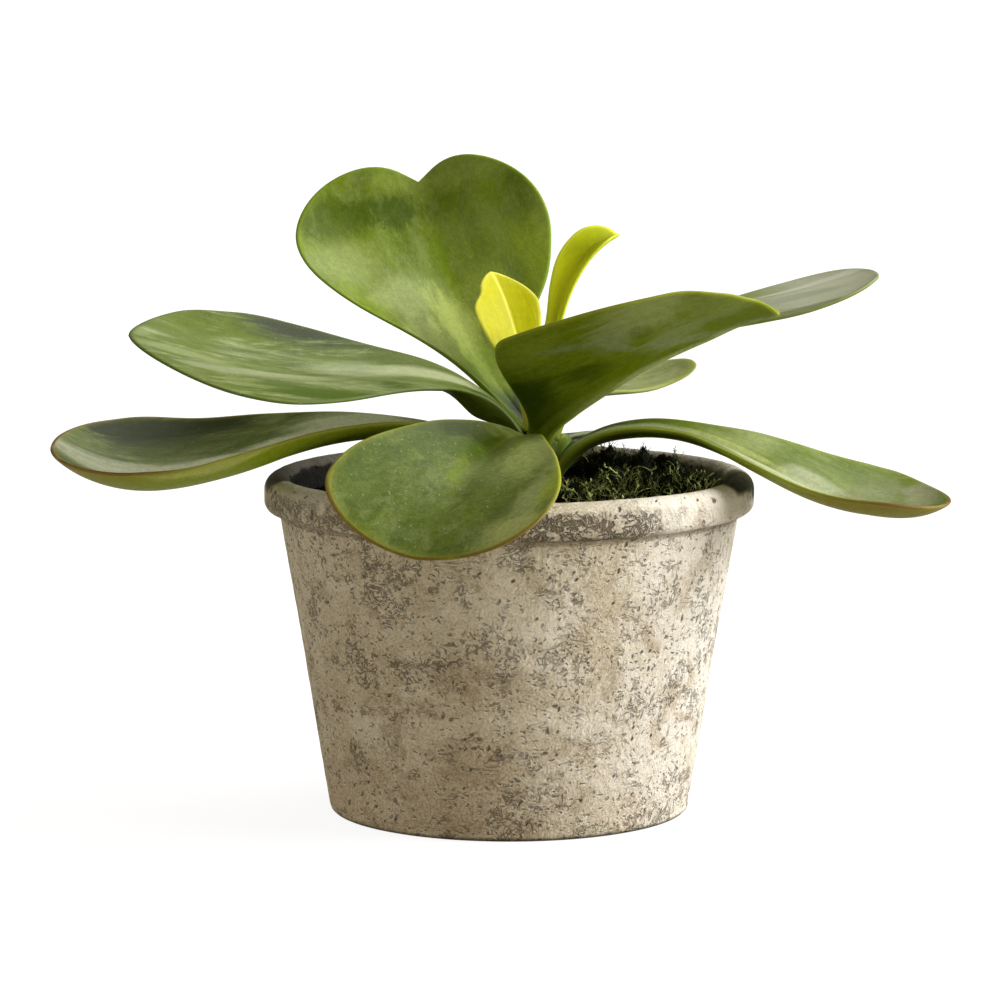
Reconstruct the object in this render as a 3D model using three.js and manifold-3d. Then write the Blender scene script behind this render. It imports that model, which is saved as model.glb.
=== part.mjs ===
// Potted kalanchoe: a low rosette of thick, spoon-shaped leaves on a short stem,
// in a round pot of aged cement with a rolled rim, filled with dark soil and moss.
// Millimetres, +Z up. The origin is the centre of the pot's foot, the viewer stands
// on the -Y side and +X is to the right. Leaf angles are in degrees: a heading of 0
// points to +X and one of 90 away from the viewer; a pitch of 90 points straight up.
import * as THREE from 'three';
import Module from 'manifold-3d';
import { mergeVertices } from 'three/addons/utils/BufferGeometryUtils.js';

// ---- driving dimensions: pot ----
const POT_SIDES = 48;
const FOOT_RADIUS = 55.3;
const FOOT_EDGE = 1.5;            // small round at the foot's corner
const NECK_RADIUS = 69.9;         // body radius just under the rim
const NECK_HEIGHT = 90.4;
const RIM_RADIUS = 75;
const RIM_BOTTOM = 92.8;
const RIM_UNDER_ROUND = 3.1;
const RIM_SHOULDER = 99.5;        // the rim's side is upright up to here
const RIM_ROLL = 4.3;             // half the rim's thickness
const RIM_CREST = 104;
const WALL = 6.2;
const POT_FLOOR = 9;
const FLOOR_ROUND = 5;
const ROUND_STEPS = 4;            // straight steps in each small round

// ---- driving dimensions: soil, stem and moss ----
const GAP = 0.3;                  // clearance between pieces that touch
const SOIL_LEVEL = 96;
const CROWN_MOUND = 4.6;          // rise of the soil round the stem
const CROWN_MOUND_SPREAD = 18;
const BACK_MOUND = 3;             // rise of the soil at the back right
const BACK_MOUND_SPREAD = 21;
const BACK_MOUND_AT = [38, 38];
const RIPPLE = 0.4;
const RIPPLE_TURN = 0.13;         // radians of ripple per mm
const SOIL_RINGS = 7;
const STEM_AT = new THREE.Vector2(9, 0);
const STEM_SIDES = 20;
const STEM_BOTTOM = 86;
const STEM_PROFILE = [[7, STEM_BOTTOM], [6.6, 104], [5.6, 112], [4.5, 117.5], [2.6, 119]];
const STEM_TOP = 119.4;
const MOSS_GAP = 0.5;
const MOSS_SEED = 41;
const SPRIG_RADIUS = 0.95;
const SPRIG_SINK = 1.6;           // how far a sprig's root stands in the moss bed

// ---- driving dimensions: leaves ----
const ACROSS = 8;                 // strips across a blade, four each side of the midrib
const BODY_ROWS = 9;              // rows from the stem to the widest place
const TIP_ROWS = 5;               // rings from the widest place to the tip's edge
const SPINE_STEPS = 60;
const ROOT_DEPTH = 4;             // a leaf starts this far from the stem's axis, inside it
const EDGE_FALL = 2.5;            // how late across the blade it thins to its edge
const ROOT_FADE = 16;             // mm over which the stalk's thickness fades
const MATURE = { root: 4.5, blade: 2.4, edge: 1.1 };
const YOUNG = { root: 3.2, blade: 1.8, edge: 0.9 };

// Each leaf: where it leaves the stem (around, up), the course of its midrib
// (heading, pitch and roll are control values spread evenly along the length),
// its outline (half widths left and right of the midrib, stalk half width, where
// along the length it is widest, how slowly it widens, how square its tip is)
// and its cross-section (fold at the midrib, extra curl towards each margin).
// moreLeft and moreRight widen a half by so many mm at nine even places from stalk to
// tip; a keel thickens the stalk's under face (depth, place and spread along it).
const LEAVES = [
  {
    name: 'leaf_heart', around: 116, up: 114.3, length: 106,
    heading: [127, 136, 120], pitch: [34, 56, 74], roll: [5, -33],
    wide: [45.5, 37.5], neck: 3.8, at: 0.72, slim: 1.3, fill: 2.1,
    fold: 4, curlLeft: [42, 17], curlRight: [19, 16], notch: 9.5, notchWidth: 9,
    moreLeft: [0, 0, 0.6, 0.9, 3.6, 3.2, 1.7, -0.5, -0.5],
    moreRight: [0, 0, 0, 0, 2, 0.7, 0, -0.2, 0],
  },
  {
    name: 'leaf_upper_left', around: 177, up: 108.5, length: 139.9,
    heading: [201, 208, 196], pitch: [81, -46, 24, 17], roll: [-7, -20],
    wide: [35, 25], neck: 3.3, at: 0.7, slim: 1.7, fill: 1.65,
    fold: 4, curlLeft: [3, 0], curlRight: [24, 32],
    moreLeft: [0, 0, 2, 4.6, 1.8, 0, 0.8, 0, 1],
    moreRight: [0, 0.6, 3.2, 3.2, 2.6, 1.5, 0.5, 2.5, 1],
    keel: [4.2, 0.17, 0.07],
  },
  {
    name: 'leaf_lower_left', around: 190, up: 104, length: 152.5,
    heading: [185, 190, 195], pitch: [40.3, -20, -47, 45], roll: [1, -21],
    wide: [28.5, 31.5], neck: 4.2, at: 0.77, slim: 1.1, fill: 2.15,
    fold: 3, curlLeft: [47, 54], curlRight: [15, 19],
    moreLeft: [0, 0, 0, -1.5, -1, 0, 0, 0, 0],
    moreRight: [0, 0, 0, 0.8, 1.2, 1.4, 2.4, 0, -1],
  },
  {
    name: 'leaf_front', around: 246, up: 108, length: 115.5,
    heading: [267, 243, 243], pitch: [36, -24, -36], roll: [-13, -6],
    wide: [37, 34.5], neck: 3.9, at: 0.83, slim: 1.65, fill: 2.15,
    fold: 5, curlLeft: [12, 21], curlRight: [18, 26],
    moreLeft: [0, 0, 0, 0, 0, -0.7, -0.8, -0.8, 0],
    moreRight: [0, 0, 0, 1.4, 1.6, 1.3, 1.3, 1.3, 0.5],
  },
  {
    name: 'leaf_right_near', around: 281, up: 113, length: 98,
    heading: [274, 368, 344], pitch: [31, 38, 11], roll: [9, -5],
    wide: [20, 42], neck: 5.1, at: 0.38, slim: 1.85, fill: 1.95,
    fold: 24, curlLeft: [23, 20], curlRight: [31, 0],
    moreRight: [0, 0, 0, 0, 0, 0.8, 0.6, 0, 0],
  },
  {
    name: 'leaf_right_far', around: 24, up: 114, length: 118.5,
    heading: [19, 13, -11], pitch: [72, -26, 32], roll: [-4, 5],
    wide: [23.5, 24.5], neck: 3.4, at: 0.74, slim: 1.3, fill: 2.25,
    fold: 3, curlLeft: [6, 16], curlRight: [6, 0],
    moreLeft: [0, 0, 0, 0, 0, 0, 2.5, 4, 3],
    moreRight: [0, 0, 0, 0, 0, 1, -0.5, -2, -2],
  },
  {
    name: 'leaf_lower_right', around: 353, up: 102, length: 135,
    heading: [345, 335, 351], pitch: [60.7, -30, -63, 31], roll: [13, 6],
    wide: [23, 24], neck: 4.2, at: 0.82, slim: 1.2, fill: 1.9,
    fold: 3, curlLeft: [18, 25], curlRight: [22, 42],
    moreLeft: [0, 0, -2, -4, -2, 0.8, 3.2, 2, 1.5],
    moreRight: [0, 0, -0.5, -1.5, 2, 1.5, 0, 0, 0],
  },
  {
    name: 'leaf_back_right', around: 66, up: 106.5, length: 83.5,
    heading: [91, 49, 3], pitch: [64, -40, 32], roll: [-16, 18],
    wide: [13, 10.5], neck: 3, at: 0.66, slim: 1.35, fill: 2.35,
    fold: 3, curlLeft: [7, 12], curlRight: [14, 5],
    moreRight: [0, 0, 0, 0, -0.4, -0.3, -1.2, -2.2, -0.8],
  },
  {
    name: 'leaf_back_low', around: 96, up: 103.5, length: 93,
    heading: [94, 77, 72], pitch: [19, -16, -3], roll: [-7, -4],
    wide: [14, 15.5], neck: 3.7, at: 0.64, slim: 1.3, fill: 2.2,
    fold: 2, curlLeft: [6, 6], curlRight: [9, 5],
  },
  {
    name: 'leaf_young_broad', around: 215, up: 117, start: 2.7, length: 52.5, young: true,
    heading: [119, 121, 133], pitch: [79, 64, 53], roll: [-4, -5],
    wide: [12, 10.5], neck: 2.5, at: 0.75, slim: 1.5, fill: 1.4,
    fold: 5, curlLeft: [0, 1], curlRight: [13, 25],
    moreRight: [0, 0, 0, 0, 0, 0, 0.6, 0.8, 0],
  },
  {
    name: 'leaf_young_curled', around: 74, up: 116.8, start: 3.6, length: 71.5, young: true,
    heading: [74, 56, 31], pitch: [70, 86.5, 15], roll: [-11, 17],
    wide: [6.7, 4], neck: 2.4, at: 0.85, slim: 1.45, fill: 1.9,
    fold: 30, curlLeft: [11, 21], curlRight: [13, 12],
    moreLeft: [0, 0, 0, -0.3, -0.9, 0, 1.2, 1.3, 1],
    moreRight: [0, 0, 0, 0, 0.4, 0.8, 2.4, 4.2, 4],
  },
  {
    name: 'leaf_bud', around: 41, up: 106, start: 7.9, length: 13.5, young: true,
    heading: [35, 60, 105], pitch: [56, 38, -28], roll: [20, 30],
    wide: [4.1, 4.1], neck: 1.8, at: 0.55, slim: 1.3, fill: 2,
    fold: 25, curlLeft: [10, 15], curlRight: [10, 15],
  },
];

// Beds of moss on the right half of the soil, each a sector of the pot.
const MOSS_BEDS = [
  { name: 'moss_front', from: -70, to: -24, inner: 24, outer: 62, depth: 2.6, sprigs: 34, length: 6 },
  { name: 'moss_right', from: -22, to: 17, inner: 33, outer: 62, depth: 2.4, sprigs: 26, length: 5 },
  { name: 'moss_back', from: 19, to: 62, inner: 33, outer: 62, depth: 5.2, sprigs: 30, length: 5.5 },
];

const wasm = await Module();
wasm.setup();

const radians = THREE.MathUtils.degToRad;

// ---- solids ----

// A three.js geometry as a solid that can be cut and joined.
function toSolid(geometry) {
  const bare = geometry.clone();
  bare.deleteAttribute('normal');
  bare.deleteAttribute('uv');
  const welded = mergeVertices(bare, 1e-4);
  const index = welded.index.array;
  const triangles = [];
  for (let i = 0; i < index.length; i += 3) {
    const [a, b, c] = [index[i], index[i + 1], index[i + 2]];
    if (a !== b && b !== c && c !== a) triangles.push(a, b, c);
  }
  return new wasm.Manifold(new wasm.Mesh({
    numProp: 3,
    vertProperties: new Float32Array(welded.attributes.position.array),
    triVerts: new Uint32Array(triangles),
  }));
}

// A solid back as a three.js geometry.
function toGeometry(solid) {
  const mesh = solid.getMesh();
  const geometry = new THREE.BufferGeometry();
  geometry.setAttribute('position', new THREE.BufferAttribute(new Float32Array(mesh.vertProperties), 3));
  geometry.setIndex(new THREE.BufferAttribute(new Uint32Array(mesh.triVerts), 1));
  geometry.computeVertexNormals();
  return geometry;
}

// A solid turned about the Z axis, from (radius, height) points that go up the outside.
function turned(points, sides, centre = new THREE.Vector2()) {
  const geometry = new THREE.LatheGeometry(points.map(([r, z]) => new THREE.Vector2(r, z)), sides);
  geometry.rotateX(Math.PI / 2);
  geometry.translate(centre.x, centre.y, 0);
  return geometry;
}

// Points of a round in a profile, with its angles in degrees.
function round(r, z, size, from, to, steps = ROUND_STEPS) {
  const points = [];
  for (let i = 0; i <= steps; i += 1) {
    const angle = radians(from + (to - from) * i / steps);
    points.push([r + size * Math.cos(angle), z + size * Math.sin(angle)]);
  }
  return points;
}

// ---- pot ----

// Radius of the body's outside at a height.
function bodyRadius(z) {
  return FOOT_RADIUS + (NECK_RADIUS - FOOT_RADIUS) * z / NECK_HEIGHT;
}

// The pot's inside, from the rim's inner edge down to the floor's round.
const INNER_LIP = [RIM_RADIUS - 2 * RIM_ROLL, RIM_SHOULDER];
const INNER_NECK = [bodyRadius(NECK_HEIGHT) - WALL, NECK_HEIGHT];
const INNER_FOOT = bodyRadius(POT_FLOOR) - WALL;

function potGeometry() {
  const crestRound = round(RIM_RADIUS - RIM_ROLL, RIM_SHOULDER, RIM_ROLL, 0, 180, 8)
    .map(([r, z]) => [r, RIM_SHOULDER + (z - RIM_SHOULDER) * (RIM_CREST - RIM_SHOULDER) / RIM_ROLL]);
  return turned([
    [0, 0],
    ...round(FOOT_RADIUS - FOOT_EDGE, FOOT_EDGE, FOOT_EDGE, -90, 0, 2),
    [bodyRadius(NECK_HEIGHT / 2), NECK_HEIGHT / 2],
    [NECK_RADIUS, NECK_HEIGHT],
    [NECK_RADIUS + 0.5, NECK_HEIGHT + 1.4],
    ...round(RIM_RADIUS - RIM_UNDER_ROUND, RIM_BOTTOM + RIM_UNDER_ROUND, RIM_UNDER_ROUND, -90, 0),
    ...crestRound,
    INNER_NECK,
    ...round(INNER_FOOT - FLOOR_ROUND, POT_FLOOR + FLOOR_ROUND, FLOOR_ROUND, 0, -90),
    [0, POT_FLOOR],
  ], POT_SIDES);
}

// ---- soil ----

// Height of the soil's surface: a mound round the stem, another at the back right,
// and slow ripples.
function soilHeight(x, y) {
  const hill = (rise, spread, hx, hy) => (
    rise * Math.exp(-((x - hx) ** 2 + (y - hy) ** 2) / (2 * spread ** 2))
  );
  return SOIL_LEVEL
    + hill(CROWN_MOUND, CROWN_MOUND_SPREAD, STEM_AT.x, STEM_AT.y)
    + hill(BACK_MOUND, BACK_MOUND_SPREAD, ...BACK_MOUND_AT)
    + RIPPLE * Math.sin(x * RIPPLE_TURN) * Math.cos(y * RIPPLE_TURN);
}

// The soil fills the pot, with a plain hole for the stem.
function soilGeometry() {
  const wallAt = (z) => {
    const [lipRadius, lipZ] = INNER_LIP;
    const [neckRadius, neckZ] = INNER_NECK;
    return neckRadius + (lipRadius - neckRadius) * (z - neckZ) / (lipZ - neckZ);
  };
  const edge = wallAt(SOIL_LEVEL - 1) - 2 * GAP;
  const top = [];
  for (let i = 0; i <= SOIL_RINGS; i += 1) {
    top.push([edge * (1 - i / SOIL_RINGS), SOIL_LEVEL]);
  }
  const geometry = turned([
    [0, POT_FLOOR + GAP],
    ...round(INNER_FOOT - FLOOR_ROUND - GAP, POT_FLOOR + FLOOR_ROUND + GAP, FLOOR_ROUND, -90, 0),
    [INNER_NECK[0] - GAP, NECK_HEIGHT],
    ...top,
  ], POT_SIDES);
  const position = geometry.attributes.position;
  for (let i = 0; i < position.count; i += 1) {
    if (position.getZ(i) > SOIL_LEVEL - 0.5) {
      position.setZ(i, soilHeight(position.getX(i), position.getY(i)));
    }
  }
  return toGeometry(toSolid(geometry).subtract(toSolid(stemGeometry(GAP))));
}

// ---- stem ----

// The stem, or with an allowance the hole that it stands in.
function stemGeometry(allowance = 0) {
  return turned([
    [0, STEM_BOTTOM - allowance],
    ...STEM_PROFILE.map(([r, z]) => [r + allowance, z === STEM_BOTTOM ? z - allowance : z + allowance]),
    [0, STEM_TOP + 1.3 * allowance],
  ], STEM_SIDES, STEM_AT);
}

// ---- leaves ----

// A smooth course through control values, as a Bezier curve in one dimension.
function course(values, s) {
  let level = values;
  while (level.length > 1) {
    level = level.slice(1).map((value, i) => level[i] * (1 - s) + value * s);
  }
  return level[0];
}

// Directions at a place along a leaf: along the midrib, across to its left, and out
// of its upper face.
function leafFrame(leaf, s) {
  const heading = radians(course(leaf.heading, s));
  const pitch = radians(course(leaf.pitch, s));
  const roll = radians(course(leaf.roll, s));
  const along = new THREE.Vector3(
    Math.cos(pitch) * Math.cos(heading),
    Math.cos(pitch) * Math.sin(heading),
    Math.sin(pitch),
  );
  const level = new THREE.Vector3(-Math.sin(heading), Math.cos(heading), 0);
  const upright = new THREE.Vector3().crossVectors(along, level);
  const left = level.clone().multiplyScalar(Math.cos(roll)).addScaledVector(upright, Math.sin(roll));
  const out = upright.clone().multiplyScalar(Math.cos(roll)).addScaledVector(level, -Math.sin(roll));
  return { along, left, out };
}

// Points along the midrib, found by walking from the stem in small steps.
function leafSpine(leaf) {
  const start = leaf.start ?? ROOT_DEPTH;
  const around = radians(leaf.around);
  const points = [new THREE.Vector3(
    STEM_AT.x + start * Math.cos(around),
    STEM_AT.y + start * Math.sin(around),
    leaf.up,
  )];
  for (let i = 0; i < SPINE_STEPS; i += 1) {
    const { along } = leafFrame(leaf, (i + 0.5) / SPINE_STEPS);
    points.push(points[i].clone().addScaledVector(along, leaf.length / SPINE_STEPS));
  }
  return points;
}

function onSpine(spine, s) {
  const place = s * SPINE_STEPS;
  const i = Math.min(Math.floor(place), SPINE_STEPS - 1);
  return spine[i].clone().lerp(spine[i + 1], place - i);
}

// A smooth course that passes through every one of its values.
function through(values, s) {
  const place = Math.min(Math.max(s, 0), 1) * (values.length - 1);
  const i = Math.min(Math.floor(place), values.length - 2);
  const t = place - i;
  const [a, b, c, d] = [-1, 0, 1, 2].map((k) => values[Math.min(Math.max(i + k, 0), values.length - 1)]);
  return 0.5 * (2 * b + (c - a) * t + (2 * a - 5 * b + 4 * c - d) * t ** 2
    + (3 * b - a - 3 * c + d) * t ** 3);
}

// How much wider a leaf is than its plain outline, on one side of the midrib.
function more(leaf, u, s) {
  return through((u > 0 ? leaf.moreLeft : leaf.moreRight) ?? [0, 0], s);
}

// The outline as a grid: each point has its distance along and across the leaf, the
// half width there, and how near the edge it is, from 0 to 1.
function leafGrid(leaf) {
  const rows = [];
  const sides = [];
  for (let k = 0; k <= ACROSS; k += 1) sides.push(2 * k / ACROSS - 1);
  const widest = (u) => (u > 0 ? leaf.wide[0] : leaf.wide[1]);
  for (let i = 0; i < BODY_ROWS; i += 1) {
    const part = i / BODY_ROWS;
    const swell = Math.sin((Math.PI / 2) * part ** leaf.slim) ** 1.6;
    rows.push(sides.map((u) => {
      const half = leaf.neck + (widest(u) - leaf.neck) * swell + more(leaf, u, part * leaf.at);
      return { along: part * leaf.at * leaf.length, across: u * half, half, edge: Math.abs(u) };
    }));
  }
  for (let j = 0; j <= TIP_ROWS; j += 1) {
    const q = j / TIP_ROWS;
    rows.push(sides.map((u) => {
      // a square patch of the grid is mapped to a half disc, then squared off by fill
      const x = u * Math.sqrt(1 - q * q / 2);
      const y = q * Math.sqrt(1 - u * u / 2);
      const angle = Math.atan2(y, Math.abs(x) + 1e-12);
      const square = (Math.cos(angle) ** leaf.fill + Math.sin(angle) ** leaf.fill) ** (-1 / leaf.fill);
      const edge = Math.min(1, Math.hypot(x, y));
      const stretch = 1 + (square - 1) * edge;
      let along = leaf.length * (leaf.at + y * stretch * (1 - leaf.at));
      const half = widest(u) + more(leaf, u, along / leaf.length);
      const across = x * stretch * half;
      if (leaf.notch) {
        along -= leaf.notch * q * q * Math.exp(-((Math.abs(across) / leaf.notchWidth) ** 1.2));
      }
      return { along, across, half, edge };
    }));
  }
  return rows;
}

// The upper and lower face's points for one grid point.
function leafPoint(leaf, spine, point) {
  const s = Math.min(1, point.along / leaf.length);
  const { along, left, out } = leafFrame(leaf, s);
  const centre = onSpine(spine, s).addScaledVector(along, Math.max(0, point.along - leaf.length));
  const side = point.across >= 0 ? 1 : -1;
  const reach = Math.abs(point.across);
  const fold = radians(leaf.fold);
  const curl = radians(course(side > 0 ? leaf.curlLeft : leaf.curlRight, s));
  const bend = Math.max(curl / point.half, 1e-5);
  const slope = fold + bend * reach;
  centre.addScaledVector(left, side * (Math.sin(slope) - Math.sin(fold)) / bend);
  centre.addScaledVector(out, (Math.cos(fold) - Math.cos(slope)) / bend);
  const normal = left.clone().multiplyScalar(-side * Math.sin(slope))
    .addScaledVector(out, Math.cos(slope));
  const thick = leaf.young ? YOUNG : MATURE;
  const fade = Math.exp(-point.along / ROOT_FADE);
  const middle = thick.blade + (thick.root - thick.blade) * fade;
  const rim = thick.edge + Math.max(0, 0.35 * thick.root - thick.edge) * fade;
  const half = (rim + (middle - rim) * (1 - point.edge ** EDGE_FALL)) / 2;
  const [depth, place, spread] = leaf.keel ?? [0, 0, 1];
  const keel = depth * Math.exp(-(((s - place) / spread) ** 2)) * (1 - point.edge ** 2);
  return {
    upper: centre.clone().addScaledVector(normal, half),
    lower: centre.clone().addScaledVector(normal, -half - keel),
  };
}

// A leaf as a closed blade, trimmed where it meets the stem.
function leafGeometry(leaf, stemCut) {
  const spine = leafSpine(leaf);
  const grid = leafGrid(leaf);
  const rows = grid.length;
  const columns = ACROSS + 1;
  const upper = [];
  const lower = [];
  for (const row of grid) {
    for (const point of row) {
      const faces = leafPoint(leaf, spine, point);
      upper.push(...faces.upper);
      lower.push(...faces.lower);
    }
  }
  const below = rows * columns;
  const at = (row, column) => row * columns + column;
  const index = [];
  for (let r = 0; r < rows - 1; r += 1) {
    for (let k = 0; k < columns - 1; k += 1) {
      const [a, b, c, d] = [at(r, k), at(r, k + 1), at(r + 1, k + 1), at(r + 1, k)];
      const split = k < ACROSS / 2 ? [[a, b, c], [a, c, d]] : [[a, b, d], [b, c, d]];
      for (const [p, q, s] of split) {
        index.push(p, s, q, p + below, q + below, s + below);
      }
    }
  }
  const border = [];
  for (let k = 0; k < columns; k += 1) border.push(at(0, k));
  for (let r = 1; r < rows; r += 1) border.push(at(r, columns - 1));
  for (let k = columns - 2; k >= 0; k -= 1) border.push(at(rows - 1, k));
  for (let r = rows - 2; r > 0; r -= 1) border.push(at(r, 0));
  border.forEach((a, i) => {
    const b = border[(i + 1) % border.length];
    index.push(a, b, b + below, a, b + below, a + below);
  });
  const geometry = new THREE.BufferGeometry();
  geometry.setAttribute('position', new THREE.Float32BufferAttribute([...upper, ...lower], 3));
  geometry.setIndex(index);
  return toGeometry(toSolid(geometry).subtract(stemCut));
}

// ---- moss ----

// Repeatable random numbers from 0 to 1.
function randomFrom(seed) {
  let state = seed;
  return () => {
    state = (state * 1664525 + 1013904223) % 4294967296;
    return state / 4294967296;
  };
}

// A bed of moss over a sector of the soil, with sprigs that stand out of it.
function mossGeometry(bed, random) {
  const arcSteps = Math.round((bed.to - bed.from) / 6);
  const depthSteps = 5;
  const columns = depthSteps + 1;
  const upper = [];
  const lower = [];
  for (let i = 0; i <= arcSteps; i += 1) {
    const angle = radians(bed.from + (bed.to - bed.from) * i / arcSteps);
    for (let j = 0; j <= depthSteps; j += 1) {
      const radius = bed.inner + (bed.outer - bed.inner) * j / depthSteps;
      const x = radius * Math.cos(angle);
      const y = radius * Math.sin(angle);
      const onBorder = i === 0 || i === arcSteps || j === 0 || j === depthSteps;
      const rise = onBorder ? 0.8 : bed.depth * (0.7 + 0.6 * random());
      const ground = soilHeight(x, y) + MOSS_GAP;
      upper.push(x, y, ground + rise);
      lower.push(x, y, ground);
    }
  }
  const below = (arcSteps + 1) * columns;
  const at = (i, j) => i * columns + j;
  const index = [];
  for (let i = 0; i < arcSteps; i += 1) {
    for (let j = 0; j < depthSteps; j += 1) {
      const [a, b, c, d] = [at(i, j), at(i, j + 1), at(i + 1, j + 1), at(i + 1, j)];
      for (const [p, q, s] of [[a, b, c], [a, c, d]]) {
        index.push(p, q, s, p + below, s + below, q + below);
      }
    }
  }
  const border = [];
  for (let j = 0; j <= depthSteps; j += 1) border.push(at(0, j));
  for (let i = 1; i <= arcSteps; i += 1) border.push(at(i, depthSteps));
  for (let j = depthSteps - 1; j >= 0; j -= 1) border.push(at(arcSteps, j));
  for (let i = arcSteps - 1; i > 0; i -= 1) border.push(at(i, 0));
  border.forEach((a, i) => {
    const b = border[(i + 1) % border.length];
    index.push(a, b + below, b, a, a + below, b + below);
  });
  const mat = new THREE.BufferGeometry();
  mat.setAttribute('position', new THREE.Float32BufferAttribute([...upper, ...lower], 3));
  mat.setIndex(index);
  let clump = toSolid(mat);
  for (let n = 0; n < bed.sprigs; n += 1) {
    const angle = radians(bed.from + 3 + (bed.to - bed.from - 6) * random());
    const radius = bed.inner + 4 + (bed.outer - bed.inner - 8) * random();
    const length = bed.length * (0.7 + 0.6 * random());
    const sprig = new THREE.ConeGeometry(SPRIG_RADIUS, length, 3);
    sprig.translate(0, length / 2, 0);
    sprig.rotateX(Math.PI / 2);
    sprig.rotateX(radians(-45 + 90 * random()));
    sprig.rotateZ(2 * Math.PI * random());
    const x = radius * Math.cos(angle);
    const y = radius * Math.sin(angle);
    sprig.translate(x, y, soilHeight(x, y) + MOSS_GAP + Math.min(bed.depth, 3) - SPRIG_SINK);
    clump = clump.add(toSolid(sprig));
  }
  return toGeometry(clump);
}

// ---- the whole plant in its pot ----

const cement = new THREE.MeshStandardMaterial({ color: 0xa99a85, roughness: 0.85, metalness: 0 });
const earth = new THREE.MeshStandardMaterial({ color: 0x1c1710, roughness: 0.95, metalness: 0 });
const mossGreen = new THREE.MeshStandardMaterial({ color: 0x3c4619, roughness: 0.9, metalness: 0 });
const stemGreen = new THREE.MeshStandardMaterial({ color: 0x6c8426, roughness: 0.5, metalness: 0 });
const leafGreen = new THREE.MeshStandardMaterial({ color: 0x567a26, roughness: 0.4, metalness: 0 });
const youngYellow = new THREE.MeshStandardMaterial({ color: 0xc3c81e, roughness: 0.4, metalness: 0 });

const plant = new THREE.Group();

function addPiece(name, geometry, material) {
  const mesh = new THREE.Mesh(geometry, material);
  mesh.name = name;
  plant.add(mesh);
}

addPiece('pot', potGeometry(), cement);
addPiece('soil', soilGeometry(), earth);
addPiece('stem', stemGeometry(), stemGreen);

const stemCut = toSolid(stemGeometry(GAP));
for (const leaf of LEAVES) {
  addPiece(leaf.name, leafGeometry(leaf, stemCut), leaf.young ? youngYellow : leafGreen);
}

const random = randomFrom(MOSS_SEED);
for (const bed of MOSS_BEDS) {
  addPiece(bed.name, mossGeometry(bed, random), mossGreen);
}

export default plant;
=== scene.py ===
import math
import bpy
import numpy as np
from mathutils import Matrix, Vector, noise


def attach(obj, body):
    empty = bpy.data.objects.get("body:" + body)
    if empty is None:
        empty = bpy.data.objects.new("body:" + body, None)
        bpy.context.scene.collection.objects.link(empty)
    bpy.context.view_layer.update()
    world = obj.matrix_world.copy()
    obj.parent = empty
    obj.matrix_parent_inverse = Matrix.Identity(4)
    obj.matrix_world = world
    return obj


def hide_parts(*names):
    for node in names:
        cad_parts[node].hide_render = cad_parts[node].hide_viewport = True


# A kalanchoe in a cement pot. Lengths are in millimetres unless a name says metres,
# +Z is up, the origin is the middle of the pot's foot and the viewer is on the -Y side.

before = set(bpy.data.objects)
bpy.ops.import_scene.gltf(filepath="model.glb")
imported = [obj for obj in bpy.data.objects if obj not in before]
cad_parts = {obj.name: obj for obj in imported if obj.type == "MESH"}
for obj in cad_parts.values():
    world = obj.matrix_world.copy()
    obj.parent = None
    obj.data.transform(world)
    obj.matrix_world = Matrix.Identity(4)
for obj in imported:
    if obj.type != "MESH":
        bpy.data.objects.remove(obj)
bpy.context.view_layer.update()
MM = 0.001

# ---- viewpoint ----
# A long lens, from a little above the rim of the pot.
VIEW_BACK = 1400
VIEW_HEIGHT = 287.2
VIEW_ASIDE = -2.81
VIEW_DOWN = 7.8                    # degrees
SENSOR = 36
FOCAL = 165.8
lens = bpy.data.cameras.new("viewpoint")
lens.sensor_width = SENSOR
lens.lens = FOCAL
lens.clip_end = 100
viewpoint = bpy.data.objects.new("viewpoint", lens)
viewpoint.location = (VIEW_ASIDE * MM, -VIEW_BACK * MM, VIEW_HEIGHT * MM)
viewpoint.rotation_euler = (math.radians(90 - VIEW_DOWN), 0, 0)
bpy.context.scene.collection.objects.link(viewpoint)
bpy.context.scene.camera = viewpoint

# ---- pot ----
# Cast cement, turned on a mould, with a rolled rim. It has aged: the skin is full of
# small pits and hair cracks, in patches, and damp has stained the rim. Painted shade darkens
# the inside, the foot and the crease under the rim; painted light brightens the sides and one edge of each
# pit.
FOOT_RADIUS, FOOT_EDGE = 55.3, 1.5
NECK_RADIUS, NECK_HEIGHT = 69.9, 90.4
RIM_RADIUS, RIM_BOTTOM, RIM_SHOULDER, RIM_CREST = 75, 92.8, 99.5, 104
RIM_UNDER_ROUND, RIM_ROLL = 3.1, 4.3
WALL, POT_FLOOR = 6.2, 9
POT_SIDES = 480
POT_STEP = 0.74                    # spacing of the outer rows
INNER_STEP = 6
SWAY, SWAY_SIZE = 0.32, 34         # slow unevenness of the hand-made form
GRAIN, GRAIN_SIZE = 0.09, 5
PIT_CELL, PIT_DEPTH = 2.6, 0.5
PIT_SEED = 3
HIGHLIGHT_OFFSET = (0.0001, 0, 0.00035)  # the painted highlights lie above their pits, in metres
RIM_STARTS = 0.0935                # metres
CEMENT_LIGHT = (0.80, 0.73, 0.60)
CEMENT_MID = (0.58, 0.50, 0.37)
CEMENT_DARK = (0.31, 0.25, 0.165)
CEMENT_PAINTED_HIGHLIGHT = (0.92, 0.88, 0.81)
GRAIN_DARK, GRAIN_LIGHT = (0.3, 0.27, 0.23), (0.8, 0.79, 0.77)
PIT_BROWN = (0.14, 0.098, 0.054)
CARVED_BROWN = (0.06, 0.038, 0.02)
DAMP_AND_SHADE_DARK = (0.010, 0.009, 0.006)
WET_OLIVE = (0.034, 0.040, 0.004)
LEFT_STAIN, RIGHT_STAIN = (140, 54), (-9, 15)    # middle and half width, in degrees
DRIP, BACK_STAIN = (-3, 8), (48, 34)
CARVED = ((217, 22, 0.55), (282, 24, 1.0))       # and the share that is rough


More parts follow.
